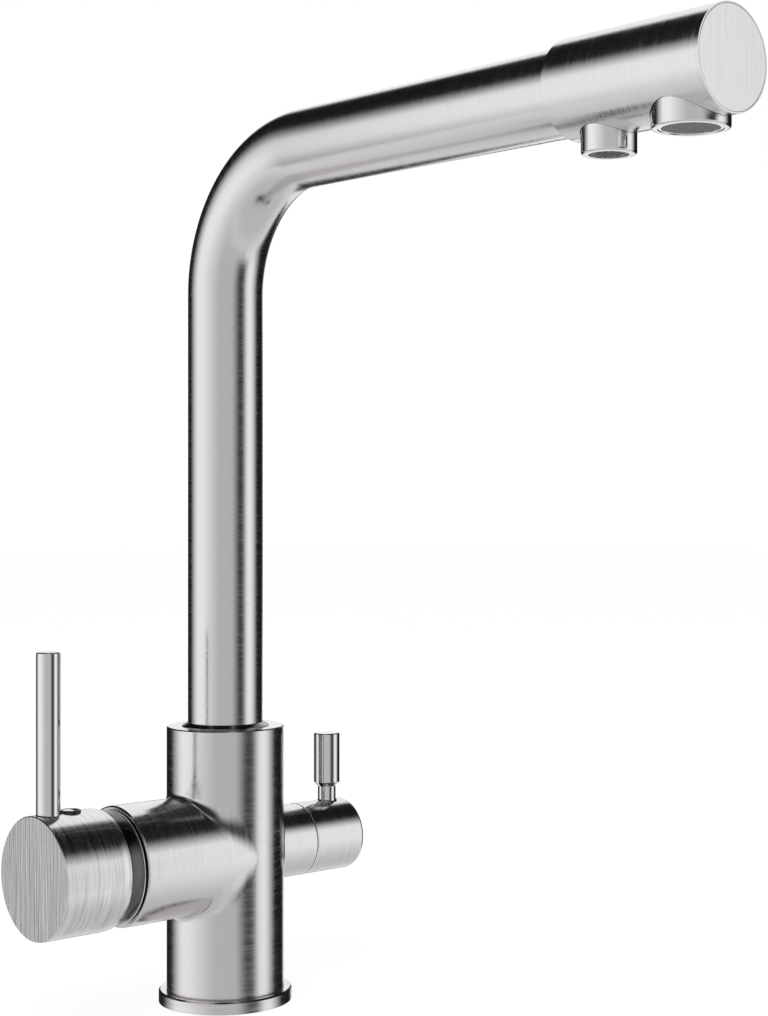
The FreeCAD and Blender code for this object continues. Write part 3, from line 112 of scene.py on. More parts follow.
def tone(place, amount, colour, spread):
    """Colour that goes a little darker and lighter as amount runs from 0 to 1."""
    dark = (*[c * (1 - spread) for c in colour], 1)
    light = (*[min(1, c * (1 + spread)) for c in colour], 1)
    settings = {"data_type": "RGBA"}
    return place.node("ShaderNodeMix", settings, {0: amount, 6: dark, 7: light}, output=2)


def surfaced(made, shader, colour, rough, normal, metallic):
    """Link what varies over the surface to the shader, and set how metallic it is."""
    made.node_tree.links.new(colour.socket, shader.inputs["Base Color"])
    made.node_tree.links.new(rough.socket, shader.inputs["Roughness"])
    made.node_tree.links.new(normal.socket, shader.inputs["Normal"])
    shader.inputs["Metallic"].default_value = metallic
    return made


def nowhere(place):
    """Mask of a piece that has no straight-brushed face."""
    return 0.0


def brushed_steel(name, across, straight=nowhere, streaks=1.0, shade=1.0):
    """Stainless steel brushed in fine lines. Across gives the distance that crosses the lines, and
    straight masks the flat faces, whose lines are longer and deeper. Streaks says how much one line
    differs from the next, and shade below 1 darkens the steel's colour as painted shade."""
    bare_steel = (0.785, 0.765, 0.772)
    colour_spread = 0.25
    coarse_line = 0.0009
    fine_line = 0.00022
    coarse_share = 0.65
    streak_length = 0.018
    groove_depth = 0.00002
    deeper_when_flat = 16
    gloss = 0.19
    gloss_spread = 0.42
    duller_when_flat = 0.05
    made, shader, place = new_material(name)
    distance = across(place)
    flat = straight(place)
    calmer_when_flat = 1 - 0.5 * flat
    along = place.node(
        "ShaderNodeVectorMath", {"operation": "SCALE"},
        {0: place, "Scale": calmer_when_flat * (1 / streak_length)},
    )
    lines = {}
    for width in (coarse_line, fine_line):
        noise = {"W": distance * (1 / width), "Scale": 1.0, "Detail": 2.0, "Roughness": 0.6}
        lines[width] = place.node(
            "ShaderNodeTexNoise", {"noise_dimensions": "4D"}, {"Vector": along, **noise}
        )
    grain = lines[coarse_line] * coarse_share + lines[fine_line] * (1 - coarse_share)
    grooves = grain * (1 + deeper_when_flat * flat)
    normal = place.node(
        "ShaderNodeBump", {}, {"Height": grooves, "Strength": 1.0, "Distance": groove_depth}
    )
    uneven = (grain - 0.5) * streaks * calmer_when_flat
    colour = tone(place, uneven + 0.5, [shade * c for c in bare_steel], colour_spread)
    rough = gloss + gloss_spread * (grain - 0.5) + duller_when_flat * flat
    return surfaced(made, shader, colour, rough, normal, metallic=1.0)


def grained(name, colour, metallic, roughness, grain, depth, spread=0.06):
    """Plain finish with a fine grain in its colour, gloss and relief."""
    grain_to_cloud = 0.12
    made, shader, place = new_material(name)
    fine_noise = {"Scale": 1 / grain, "Detail": 3.0, "Roughness": 0.6}
    speckle = place.node("ShaderNodeTexNoise", {}, {"Vector": place, **fine_noise})
    broad_noise = {"Scale": grain_to_cloud / grain, "Detail": 2.0}
    cloud = place.node("ShaderNodeTexNoise", {}, {"Vector": place, **broad_noise})
    normal = place.node(
        "ShaderNodeBump", {}, {"Height": speckle, "Strength": 0.6, "Distance": depth}
    )
    varied = tone(place, speckle * 0.5 + cloud * 0.5, colour, spread)
    rough = roughness * 0.8 + cloud * (0.4 * roughness)
    return surfaced(made, shader, varied, rough, normal, metallic)


def finished(names, material):
    """Give CAD nodes their finish."""
    for name in names.split():
        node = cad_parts[name]
        node.data.materials.clear()
        node.data.materials.append(material)


def ringed_upright(place):
    """Lines round an upright piece: rings up its side, and circles on its flat top."""
    circles_to_rings = 0.7
    return place.part(2) + place.from_upright() * circles_to_rings


upright_steel = brushed_steel("steel_brushed_upright", ringed_upright)
moulded_rubber = grained(
    "rubber_moulded", (0.04, 0.04, 0.04), metallic=0.0, roughness=0.62, grain=0.0004, depth=0.00002
)
finished("base_ring", upright_steel)
finished("base_gasket", moulded_rubber)


# Body casting. The column, the mixer arm and the boss of the filter valve are one stainless
# casting, turned and brushed: rings run round the upright column, and round the two level arms.
# The column's top is faced off in circles, and a smooth blend joins the column and the mixer arm.
COLUMN_RADIUS = 0.0219
COLUMN_SKIN = 0.00012
FACE_SKIN = 0.0001
COLUMN_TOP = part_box("body_casting")[1].z
cap_low, cap_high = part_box("handle_cap")
AXIS_HEIGHT = (cap_low.z + cap_high.z) / 2


def casting_lines(place):
    """Distance along the arm on the arms, and up the column on the column."""
    off_column = place.maths("ABSOLUTE", place.from_upright() - COLUMN_RADIUS) > COLUMN_SKIN
    on_top = place.part(2) > COLUMN_TOP - FACE_SKIN
    on_arm = off_column * (1 - on_top)
    return place.part(0) * on_arm + ringed_upright(place) * (1 - on_arm)


def kept(shape, mesh):
    """Write a shape into its mesh with its faces outwards, smooth between its sharp edges."""
    sharp_edge = math.radians(40)
    bmesh.ops.recalc_face_normals(shape, faces=shape.faces)
    shape.to_mesh(mesh)
    shape.free()
    mesh.shade_smooth()
    mesh.set_sharp_from_angle(angle=sharp_edge)
    return mesh


def looped(name, rows):
    """Closed mesh through rows of points; each row and the whole run of rows are loops."""
    same_place = 0.000001
    shape = bmesh.new()
    grid = [[shape.verts.new(spot) for spot in row] for row in rows]
    for number, near in enumerate(grid):
        far = grid[(number + 1) % len(grid)]
        for index in range(len(near)):
            after = (index + 1) % len(near)
            shape.faces.new((near[index], near[after], far[after], far[index]))
    bmesh.ops.remove_doubles(shape, verts=shape.verts, dist=same_place)
    bare_edges = [edge for edge in shape.edges if not edge.link_faces]
    bmesh.ops.delete(shape, geom=bare_edges, context="EDGES")
    return kept(shape, bpy.data.meshes.new(name))


def new_piece(name, mesh, material, slot, body, *nodes):
    """A finished mesh as a piece that rides on a body and stands for CAD nodes."""
    piece = bpy.data.objects.new(name, mesh)
    bpy.context.scene.collection.objects.link(piece)
    mesh.materials.clear()
    mesh.materials.append(material)
    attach(piece, body)
    if nodes:
        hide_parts(*nodes)


def arm_fillet(name, arm_radius, narrow, wide, sink):
    """Blend between the upright column and the level arm on its left, rolled by a ball that grows
    from a narrow radius above and below the arm to a wide one at its sides. Its hidden faces are
    sunk into both."""
    around = 288
    steps = 10
    swell = 4
    rows = []
    for index in range(around):
        turn = 2 * math.pi * index / around
        spread = narrow + (wide - narrow) * math.sin(turn) ** swell
        side = (arm_radius + spread) * math.sin(turn)
        rise = (arm_radius + spread) * math.cos(turn)
        ball = Vector((-math.sqrt((COLUMN_RADIUS + spread) ** 2 - side ** 2), side, rise))
        to_arm = -Vector((0, ball.y, ball.z)).normalized()
        to_column = -Vector((ball.x, ball.y, 0)).normalized()
        between = to_arm.angle(to_column)
        row = []
        for step in range(steps + 1):
            share = between * step / steps
            way = to_arm * math.sin(between - share) + to_column * math.sin(share)
            row.append(ball + way.normalized() * spread)
        row.append(ball + to_column * (spread + sink))
        row.append(ball + (to_arm + to_column) * ((spread + sink) / (1 + to_arm.dot(to_column))))
        row.append(ball + to_arm * (spread + sink))
        rows.append([(spot.x, spot.y, spot.z + AXIS_HEIGHT) for spot in row])
    return looped(name, rows)


def level_lines(place):
    """Rings round a piece that lies along the side axis."""
    return place.part(0)


ARM_RADIUS = 0.0218
level_steel = brushed_steel("steel_brushed_level", level_lines, streaks=1.2)
casting_steel = brushed_steel("steel_brushed_casting", casting_lines, streaks=0.3)
finished("body_casting", casting_steel)
arm_root = arm_fillet("arm_root", ARM_RADIUS, narrow=0.0022, wide=0.022, sink=0.0008)
new_piece("arm_root", arm_root, level_steel, "brushed_steel", "body")


# Mixer cartridge. The 35 mm cartridge sits in the arm: an acetal foot, housing, fork and slider,
# two lapped ceramic discs, rubber seals, a brass clamping nut and lever, and a steel pin.
# All of it is hidden by the dome and the handle.
moulded_acetal = grained(
    "acetal_moulded", (0.88, 0.87, 0.84), metallic=0.0, roughness=0.42,
    grain=0.0005, depth=0.00001, spread=0.03,
)
lapped_ceramic = grained(
    "ceramic_lapped", (0.93, 0.92, 0.88), metallic=0.0, roughness=0.22,
    grain=0.0002, depth=0.000002, spread=0.03,
)
turned_brass = grained(
    "brass_turned", (0.78, 0.62, 0.32), metallic=1.0, roughness=0.30, grain=0.0003, depth=0.000006
)
drawn_steel = grained(
    "steel_drawn", (0.62, 0.62, 0.62), metallic=1.0, roughness=0.36, grain=0.0003, depth=0.000006
)
CARTRIDGE_MOULDINGS = "cartridge_base cartridge_housing lever_fork disc_carrier"
finished("cartridge_seals", moulded_rubber)
finished(CARTRIDGE_MOULDINGS, moulded_acetal)
finished("fixed_disc moving_disc", lapped_ceramic)
finished("cartridge_nut cartridge_lever", turned_brass)
finished("pivot_pin", drawn_steel)


# Dome cover. A thin ball-shaped stainless sleeve is screwed into the arm's mouth, and the handle
# tilts over it. It is steel brushed in rings, with painted shade: its colour is darkened for the
# shade it lies in under the handle's rim. A thin polished bead lies round its foot, its colour
# lifted above bare steel as a painted highlight.
def polished_steel(name, across, brightness=0.80, relief=0.5):
    """Stainless steel polished bright over faint turning marks; relief is how deep these are."""
    tint = (1.02, 1.0, 1.01)
    colour_spread = 0.03
    mark_width = 0.0004
    mark_depth = 0.000003
    gloss = 0.09
    gloss_spread = 0.06
    made, shader, place = new_material(name)
    marks = place.node(
        "ShaderNodeTexNoise",
        {"noise_dimensions": "1D"},
        {"W": across(place) * (1 / mark_width), "Scale": 1.0, "Detail": 2.0},
    )
    normal = place.node(
        "ShaderNodeBump", {}, {"Height": marks, "Strength": relief, "Distance": mark_depth}
    )
    colour = tone(place, marks, [brightness * c for c in tint], colour_spread)
    rough = gloss + gloss_spread * marks
    return surfaced(made, shader, colour, rough, normal, metallic=1.0)


def turned_ring(name, axis, centre, outline):
    """Ring turned about a line along one axis; outline lists its radii and places on that line."""
    around = 160
    sides = [k for k in (0, 1, 2) if k != axis]
    rows = []
    for radius, place in outline:
        row = []
        for index in range(around):
            turn = 2 * math.pi * index / around
            spot = Vector(centre)
            spot[axis] = place
            spot[sides[0]] += radius * math.cos(turn)
            spot[sides[1]] += radius * math.sin(turn)
            row.append(tuple(spot))
        rows.append(row)
    return looped(name, rows)


def bead_outline(radius, place, half_across, half_along):
    """Outline of a bead of oval section: its middle radius and its place on the ring's axis, and
    half its thickness across and along that axis."""
    corners = 16
    turns = [2 * math.pi * step / corners for step in range(corners)]
    return [(radius + half_across * math.cos(t), place + half_along * math.sin(t)) for t in turns]


ARM_END = -0.0493
DOME_SEAM = 0.0006
DOME_BEAD_RADIUS = 0.0202
DOME_BEAD_HALF_ACROSS = 0.00028
DOME_BEAD_HALF_ALONG = 0.0002
side_axis_centre = (0, 0, AXIS_HEIGHT)
# Painted shade: the dome's steel is darkened to 0.16 of bare steel for the shade under the handle's
# rim.
dome_steel_painted_shade = brushed_steel("steel_brushed_dome_painted_shade", level_lines, shade=0.16)
# Painted highlight: the polished beads are lifted to 0.97, above bare steel, to show a bright edge
# line.
edge_steel_painted_highlight = polished_steel("steel_polished_edge_painted_highlight", level_lines, brightness=0.97)
finished("dome_cover", dome_steel_painted_shade)
dome_bead = bead_outline(
    DOME_BEAD_RADIUS, ARM_END - DOME_SEAM - DOME_BEAD_HALF_ALONG,
    DOME_BEAD_HALF_ACROSS, DOME_BEAD_HALF_ALONG,
)
dome_foot = turned_ring("dome_foot", 0, side_axis_centre, dome_bead)
new_piece("dome_foot", dome_foot, edge_steel_painted_highlight, "polished_steel", "body")


# Handle cap. A hollow turned stainless cap with a side brushed round and a flat front brushed in
# straight upright lines. It is held on the cartridge's lever by a grub screw in its top.
HANDLE_RADIUS = (cap_high.z - cap_low.z) / 2


def handle_front(place):
    """Mask of the handle's flat front."""
    return place.part(0) < cap_low.x + FACE_SKIN


def handle_lines(place):
    """Rings round the side, and straight upright lines on the front."""
    on_front = handle_front(place)
    return place.part(1) * on_front + place.part(0) * (1 - on_front)


handle_steel = brushed_steel("steel_brushed_handle", handle_lines, handle_front, streaks=3.1)
black_oxide = grained(
    "steel_black_oxide", (0.05, 0.05, 0.055), metallic=0.6, roughness=0.38,
    grain=0.0003, depth=0.000004,
)
finished("handle_cap", handle_steel)
finished("handle_grub_screw", black_oxide)


# Index button. A black moulded ring with a raised lip is pressed into the cap's top over the grub
# screw. Its centre is turned from steel and polished: a thin wall, a shallow dish and a low dome
# in the dish.
CAP_TOP = AXIS_HEIGHT + HANDLE_RADIUS
LIP_RADIUS = 0.0032
LIP_RISE = 0.0001
LIP_HALF_ACROSS = 0.0005
LIP_HALF_ALONG = 0.0007
CENTRE_RADIUS = 0.0029
CENTRE_DEPTH = 0.0005
WALL_RISE = 0.0006
WALL_INNER_RADIUS = 0.0027
DISH_RADIUS = 0.0020
DISH_RISE = 0.0001
DOME_RADIUS = 0.0019
DOME_RISE = 0.0004
DOME_STEPS = 8
dish_level = CAP_TOP + DISH_RISE
black_gloss = grained(
    "plastic_black_gloss", (0.012, 0.012, 0.012), metallic=0.0, roughness=0.12,
    grain=0.0004, depth=0.000001,
)
index_polish = polished_steel("steel_polished_index", level_lines)
finished("index_ring", black_gloss)
index_low, index_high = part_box("index_ring")
index_centre = ((index_low.x + index_high.x) / 2, (index_low.y + index_high.y) / 2, 0)
lip_bead = bead_outline(LIP_RADIUS, CAP_TOP + LIP_RISE, LIP_HALF_ACROSS, LIP_HALF_ALONG)
index_lip = turned_ring("index_lip", 2, index_centre, lip_bead)
new_piece("index_lip", index_lip, black_gloss, "black_plastic", "handle")
centre_outline = [
    (0, CAP_TOP - CENTRE_DEPTH), (CENTRE_RADIUS, CAP_TOP - CENTRE_DEPTH),
    (CENTRE_RADIUS, CAP_TOP + WALL_RISE), (WALL_INNER_RADIUS, CAP_TOP + WALL_RISE),
    (DISH_RADIUS, dish_level),
]
for step in range(DOME_STEPS + 1):
    angle = math.pi / 2 * step / DOME_STEPS
    dome_spot = (DOME_RADIUS * math.cos(angle), dish_level + DOME_RISE * math.sin(angle))
    centre_outline.append(dome_spot)
index_dome = turned_ring("index_dome", 2, index_centre, centre_outline)
new_piece("index_dome", index_dome, index_polish, "polished_steel", "handle", "index_button")


# Rod. A polished stainless rod screws into the cap's top and runs into it through a small
# polished fillet.
def root_fillet(name, centre_x, rod_radius, drum_radius, spread, sink):
    """Concave fillet where a thin rod stands on a level drum about the side axis. Its hidden faces
    are sunk into both."""
    around = 96
    steps = 8
    rings = [(rod_radius + spread, -sink)]
    for step in range(steps + 1):
        angle = math.pi / 2 * step / steps
        rings.append((rod_radius + spread * (1 - math.sin(angle)), spread * (1 - math.cos(angle))))
    rings += [(rod_radius - sink, spread), (rod_radius - sink, -sink)]
    rows = []
    for radius, rise in rings:
        row = []
        for index in range(around):
            turn = 2 * math.pi * index / around
            side = radius * math.sin(turn)
            drum = math.sqrt(drum_radius ** 2 - side ** 2)
            row.append((centre_x + radius * math.cos(turn), side, AXIS_HEIGHT + drum + rise))
        rows.append(row)
    return looped(name, rows)


def upright_lines(place):
    """Rings up an upright rod or collar."""
    return place.part(2)


rod_steel = polished_steel("steel_polished_rod", upright_lines, relief=0.08)
finished("lever_rod", rod_steel)
rod_low, rod_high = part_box("lever_rod")
rod_root = root_fillet(
    "rod_root", (rod_low.x + rod_high.x) / 2, (rod_high.x - rod_low.x) / 2,
    HANDLE_RADIUS, spread=0.0005, sink=0.0001,
)
new_piece("rod_root", rod_root, rod_steel, "brushed_steel", "handle")


# Filter valve. A brass quarter-turn valve with ceramic discs is screwed into the boss. Its spindle
# carries a turned stainless knob, brushed round and with a thin polished bead on its rear edge,
# its colour lifted above bare steel as a painted highlight.
# A waisted, polished lever is screwed into the knob, which has a grub screw below.
KNOB_NECK_RADIUS = 0.0035
KNOB_START = 0.03395
KNOB_BEAD_INSET = 0.00008
KNOB_BEAD_SETBACK = 0.00022
KNOB_BEAD_HALF_ACROSS = 0.0002
KNOB_BEAD_HALF_ALONG = 0.00026
finished("valve_seal spindle_o_rings", moulded_rubber)
finished("valve_bushing valve_spindle", turned_brass)
finished("valve_fixed_disc valve_moving_disc", lapped_ceramic)
finished("spindle_clip", drawn_steel)
finished("filter_knob", level_steel)
finished("knob_lever", rod_steel)
finished("knob_grub_screw", black_oxide)
lever_low, lever_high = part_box("knob_lever")
knob_low, knob_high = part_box("filter_knob")
knob_radius = (knob_high.y - knob_low.y) / 2
lever_root = root_fillet(
    "lever_root", (lever_low.x + lever_high.x) / 2, KNOB_NECK_RADIUS,
    knob_radius, spread=0.0008, sink=0.0001,
)
new_piece("lever_root", lever_root, rod_steel, "brushed_steel", "filter_knob")
knob_bead = bead_outline(
    knob_radius - KNOB_BEAD_INSET, KNOB_START + KNOB_BEAD_SETBACK,
    KNOB_BEAD_HALF_ACROSS, KNOB_BEAD_HALF_ALONG,
)
knob_rim = turned_ring("knob_rim", 0, side_axis_centre, knob_bead)
new_piece("knob_rim", knob_rim, edge_steel_painted_highlight, "polished_steel", "filter_knob")


# Spout foot and seat ring. The spout's brass foot turns in the column on rubber O-rings, held by a
# snap ring, over a coned stainless seat ring that lies on the column's top. The filtered water has
# a milky hose of its own inside the tube, on a brass plug.
extruded_hose = grained(
    "hose_extruded", (0.86, 0.88, 0.90), metallic=0.0, roughness=0.34,
    grain=0.0006, depth=0.000003, spread=0.03,
)
# Painted shade: the seat ring's steel is darkened to 0.30 for the shade in the gap under the tube.
seat_steel_painted_shade = polished_steel("steel_polished_seat_painted_shade", ringed_upright, brightness=0.30)
finished("seat_ring", seat_steel_painted_shade)
finished("spout_foot hose_plug outlet_elbow", turned_brass)
finished("spout_o_rings hose_plug_o_ring", moulded_rubber)
finished("retaining_ring", drawn_steel)
finished("filter_hose", extruded_hose)


# Spout tube. One stainless tube rises on the column's axis, is bent once on a mandrel and runs
# level to the head. It is brushed all along in fine rings that follow the bend.
def new_tree(name, sizes):
    """Geometry tree with a named input for each size, given in metres."""
    tree = bpy.data.node_groups.new(name, "GeometryNodeTree")
    tree.interface.new_socket("Geometry", in_out="OUTPUT", socket_type="NodeSocketGeometry")
    for label in sizes:
        tree.interface.new_socket(label, in_out="INPUT", socket_type="NodeSocketFloat")
    source = tree.nodes.new("NodeGroupInput")
    return tree, {label: Signal(tree, source.outputs[label]) for label in sizes}


def made_by(tree, result, sizes, material, solidify=0.0):
    """Close the tree with its material, run it with its sizes and keep a plain mesh."""
    whole = result.node("GeometryNodeRealizeInstances", {}, {0: result})
    last = result.node("GeometryNodeSetMaterial", {}, {"Geometry": whole, "Material": material})
    sink = tree.nodes.new("NodeGroupOutput")
    tree.links.new(last.socket, sink.inputs[0])
    carrier = bpy.data.objects.new(tree.name, bpy.data.meshes.new(tree.name))
    bpy.context.scene.collection.objects.link(carrier)
    modifier = carrier.modifiers.new("shape", "NODES")
    modifier.node_group = tree
    for socket in tree.interface.items_tree:
        if socket.name in sizes:
            modifier[socket.identifier] = sizes[socket.name]
    if solidify:
        wall = carrier.modifiers.new("wall", "SOLIDIFY")
        wall.thickness = solidify
        wall.offset = -1.0
        wall.use_even_offset = True
    seen = carrier.evaluated_get(bpy.context.evaluated_depsgraph_get())
    mesh = bpy.data.meshes.new_from_object(seen)
    bpy.data.objects.remove(carrier)
    shape = bmesh.new()
    shape.from_mesh(mesh)
    return kept(shape, mesh)


TUBE_BEND_RADIUS = 0.049
TUBE_WALL = 0.0012
BEND_STEPS = 64
TUBE_SIDES = 160
tube_low, tube_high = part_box("spout_tube")
tube_sizes = {
    "Tube radius": tube_high.x,
    "Start height": tube_low.z,
    "Spout height": tube_high.z - tube_high.x,
    "Reach": -tube_low.y,
    "Bend radius": TUBE_BEND_RADIUS,
}
tube_tree, size = new_tree("spout_tube_path", tube_sizes)
start = size["Start height"]
corner_index = start.node("GeometryNodeInputIndex", {}, {})
past_start = corner_index > 0.5
past_bend = corner_index > 1.5
corner = start.node(
    "ShaderNodeCombineXYZ", {},
    {
        0: 0.0,
        1: past_bend * size["Reach"] * -1.0,
        2: start + past_start * (size["Spout height"] - start),
    },
)
corners = start.node("GeometryNodeMeshLine", {}, {"Count": 3})
corners = start.node("GeometryNodeSetPosition", {}, {"Geometry": corners, "Position": corner})
path = start.node("GeometryNodeMeshToCurve", {}, {0: corners})
bend = {"Radius": size["Bend radius"], "Count": BEND_STEPS, "Limit Radius": False}
path = start.node("GeometryNodeFilletCurve", {"mode": "POLY"}, {"Curve": path, **bend})
run_length = start.node("GeometryNodeSplineParameter", {}, {}, output=1)
path = start.node(
    "GeometryNodeStoreNamedAttribute", {"data_type": "FLOAT", "domain": "POINT"},
    {"Geometry": path, "Name": "run_length", "Value": run_length},
)
tube_section = start.node(
    "GeometryNodeCurvePrimitiveCircle", {},
    {"Resolution": TUBE_SIDES, "Radius": size["Tube radius"]},
)
skin = start.node(
    "GeometryNodeCurveToMesh", {}, {"Curve": path, "Profile Curve": tube_section}
)


def tube_lines(place):
    """Rings that follow the tube round its bend."""
    return place.node("ShaderNodeAttribute", {"attribute_name": "run_length"}, {}, output=2)


tube_steel = brushed_steel("steel_brushed_tube", tube_lines, streaks=0.2)
tube_mesh = made_by(tube_tree, skin, tube_sizes, tube_steel, solidify=TUBE_WALL)
new_piece("spout_tube_skin", tube_mesh, tube_steel, "brushed_steel", "spout", "spout_tube")


# Spout head. A thick stainless sleeve turned from bar holds the tube's end, and a round plate
# closes it in front. The sleeve is brushed round and the plate in straight upright lines.
def head_lines(place):
    """Rings round the level head."""
    return place.part(1)


def plate_lines(place):
    """Straight upright lines on the plate."""
    return place.part(0)


head_steel = brushed_steel("steel_brushed_head", head_lines, streaks=0.75)
plate_steel = brushed_steel("steel_brushed_plate", plate_lines, streaks=0.3)
finished("spout_head", head_steel)
finished("head_end_cap", plate_steel)


# Outlets. Two turned and polished collars hang under the head. The small one gives filtered water
# through a sieve, and the large one holds the aerator: a plastic cup behind a woven steel mesh
# in a thin polished rim.
RIM_WIDTH = 0.0012
RIM_INNER_BEVEL = 0.0002
RIM_OUTER_BEVEL = 0.0001
MESH_OVERLAP = 0.0002
SAME_ROW = 0.00001
WIRE_SIDES = 6
WIRE_LIFT = 0.9
moulded_insert = grained(
    "aerator_moulded", (0.07, 0.07, 0.072), metallic=0.0, roughness=0.45,
    grain=0.0004, depth=0.000008,
)
woven_steel = grained(
    "steel_mesh_wire", (0.27, 0.27, 0.27), metallic=1.0, roughness=0.38,
    grain=0.0002, depth=0.000002,
)
finished("small_outlet large_outlet", rod_steel)
finished("small_screen aerator_body", moulded_insert)
finished("aerator_seal", moulded_rubber)
screen_low, screen_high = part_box("aerator_screen")
screen_x = (screen_low.x + screen_high.x) / 2
screen_y = (screen_low.y + screen_high.y) / 2
rim_outer = (screen_high.x - screen_low.x) / 2
rim_inner = rim_outer - RIM_WIDTH
rim_outline = [
    (rim_inner, screen_low.z + RIM_INNER_BEVEL), (rim_inner + RIM_INNER_BEVEL, screen_low.z),
    (rim_outer - RIM_OUTER_BEVEL, screen_low.z), (rim_outer, screen_low.z + RIM_OUTER_BEVEL),
    (rim_outer, screen_high.z), (rim_inner, screen_high.z),
]
aerator_rim = turned_ring("aerator_rim", 2, (screen_x, screen_y, 0), rim_outline)
rim_steel = polished_steel("steel_polished_rim", ringed_upright)
new_piece("aerator_rim", aerator_rim, rim_steel, "screen_steel", "spout")
mesh_sizes = {
    "Mesh radius": rim_inner + MESH_OVERLAP,
    "Pitch": 0.00062,
    "Wire radius": 0.00011,
    "Centre y": screen_y,
    "Height": (screen_low.z + screen_high.z) / 2,
}
mesh_tree, size = new_tree("aerator_weave", mesh_sizes)
radius = size["Mesh radius"]
wire = size["Wire radius"]
half_count = int(mesh_sizes["Mesh radius"] / mesh_sizes["Pitch"])
span = size["Pitch"] * (2.0 * half_count)
half_wave = radius.maths("DIVIDE", math.pi, size["Pitch"])
wires = []
for turned, sign in ((0, 1.0), (1, -1.0)):
    counts = {"Vertices X": 4 * half_count + 1, "Vertices Y": 2 * half_count + 1}
    level = radius.node("GeometryNodeMeshGrid", {}, {"Size X": span, "Size Y": span, **counts})
    spot = radius.node("GeometryNodeInputPosition", {}, {})
    ends = radius.node("GeometryNodeInputMeshEdgeVertices", {}, {}, output=2)
    far_ends = radius.node("GeometryNodeInputMeshEdgeVertices", {}, {}, output=3)
    rung = radius.maths("ABSOLUTE", ends.part(1) - far_ends.part(1)) > SAME_ROW
    level = radius.node(
        "GeometryNodeDeleteGeometry", {"domain": "EDGE", "mode": "EDGE_FACE"}, {0: level, 1: rung}
    )
    beyond = spot.from_upright() > radius
    level = radius.node(
        "GeometryNodeDeleteGeometry", {"domain": "POINT"}, {0: level, 1: beyond}
    )
    wave_x = radius.maths("COSINE", spot.part(0) * half_wave)
    wave_y = radius.maths("COSINE", spot.part(1) * half_wave)
    lift = wave_x * wave_y * wire * (WIRE_LIFT * sign)
    raised = radius.node("ShaderNodeCombineXYZ", {}, {0: 0.0, 1: 0.0, 2: lift})
    strand = radius.node("GeometryNodeMeshToCurve", {}, {0: level})
    strand = radius.node("GeometryNodeSetPosition", {}, {"Geometry": strand, "Offset": raised})
    wire_section = radius.node(
        "GeometryNodeCurvePrimitiveCircle", {}, {"Resolution": WIRE_SIDES, "Radius": wire}
    )
    strand = radius.node(
        "GeometryNodeCurveToMesh", {},
        {"Curve": strand, "Profile Curve": wire_section, "Fill Caps": True},
    )
    strand = radius.node(
        "GeometryNodeTransform", {},
        {"Geometry": strand, "Rotation": (0.0, 0.0, turned * math.pi / 2)},
    )
    wires.append(strand)
joined = mesh_tree.nodes.new("GeometryNodeJoinGeometry")
for strand in wires:
    mesh_tree.links.new(strand.socket, joined.inputs[0])
weave = Signal(mesh_tree, joined.outputs[0])
centre = radius.node("ShaderNodeCombineXYZ", {}, {0: 0.0, 1: size["Centre y"], 2: size["Height"]})
weave = radius.node("GeometryNodeTransform", {}, {"Geometry": weave, "Translation": centre})
weave_mesh = made_by(mesh_tree, weave, mesh_sizes, woven_steel)
new_piece("aerator_mesh", weave_mesh, woven_steel, "screen_steel", "spout", "aerator_screen")


# Studio. A pale floor and a white surround, one soft lamp, and curved cards with soft edges that
# only the steel sees: a grey one in front, a grey one for the floor, and dark flags above, beside
# and behind.
PICTURE_WIDTH = 768
PICTURE_HEIGHT = 1016
FOCAL_PIXELS = 1905.6
MIDDLE_X = 455.17
MIDDLE_Y = 506.08
CAMERA_PLACE = (-0.43397, -0.57806, 0.18524)
CAMERA_TURN = math.radians(-43.77)
camera_data = bpy.data.cameras.new("camera")
camera = bpy.data.objects.new("camera", camera_data)
bpy.context.scene.collection.objects.link(camera)
bpy.context.scene.camera = camera
camera.location = CAMERA_PLACE
camera.rotation_euler = (math.pi / 2, 0, CAMERA_TURN)
camera_data.sensor_fit = "VERTICAL"
camera_data.sensor_height = 36
camera_data.lens = FOCAL_PIXELS * camera_data.sensor_height / PICTURE_HEIGHT
camera_data.shift_x = (PICTURE_WIDTH / 2 - MIDDLE_X) / PICTURE_HEIGHT
camera_data.shift_y = (MIDDLE_Y - PICTURE_HEIGHT / 2) / PICTURE_HEIGHT
camera_data.clip_start = 0.01

CARD_CENTRE = Vector((0, 0, 0.16))
CARD_PATCH = 2.5
towards_camera = Vector((math.sin(CAMERA_TURN), -math.cos(CAMERA_TURN), 0))
to_the_right = Vector((math.cos(CAMERA_TURN), math.sin(CAMERA_TURN), 0))


def direction(turn, climb):
    """Way from the tap at degrees to the camera's right and degrees above the level."""
    turn = math.radians(turn)
    climb = math.radians(climb)
    level_way = towards_camera * math.cos(turn) + to_the_right * math.sin(turn)
    return level_way * math.cos(climb) + Vector((0, 0, math.sin(climb)))


def soft_cover(angle, limits):
    """How far an angle is inside a card, from 0 on its edge to 1 where it is whole."""
    start, whole_from, whole_to, end = limits
    return min((angle - start) / (whole_from - start), (end - angle) / (end - whole_to))


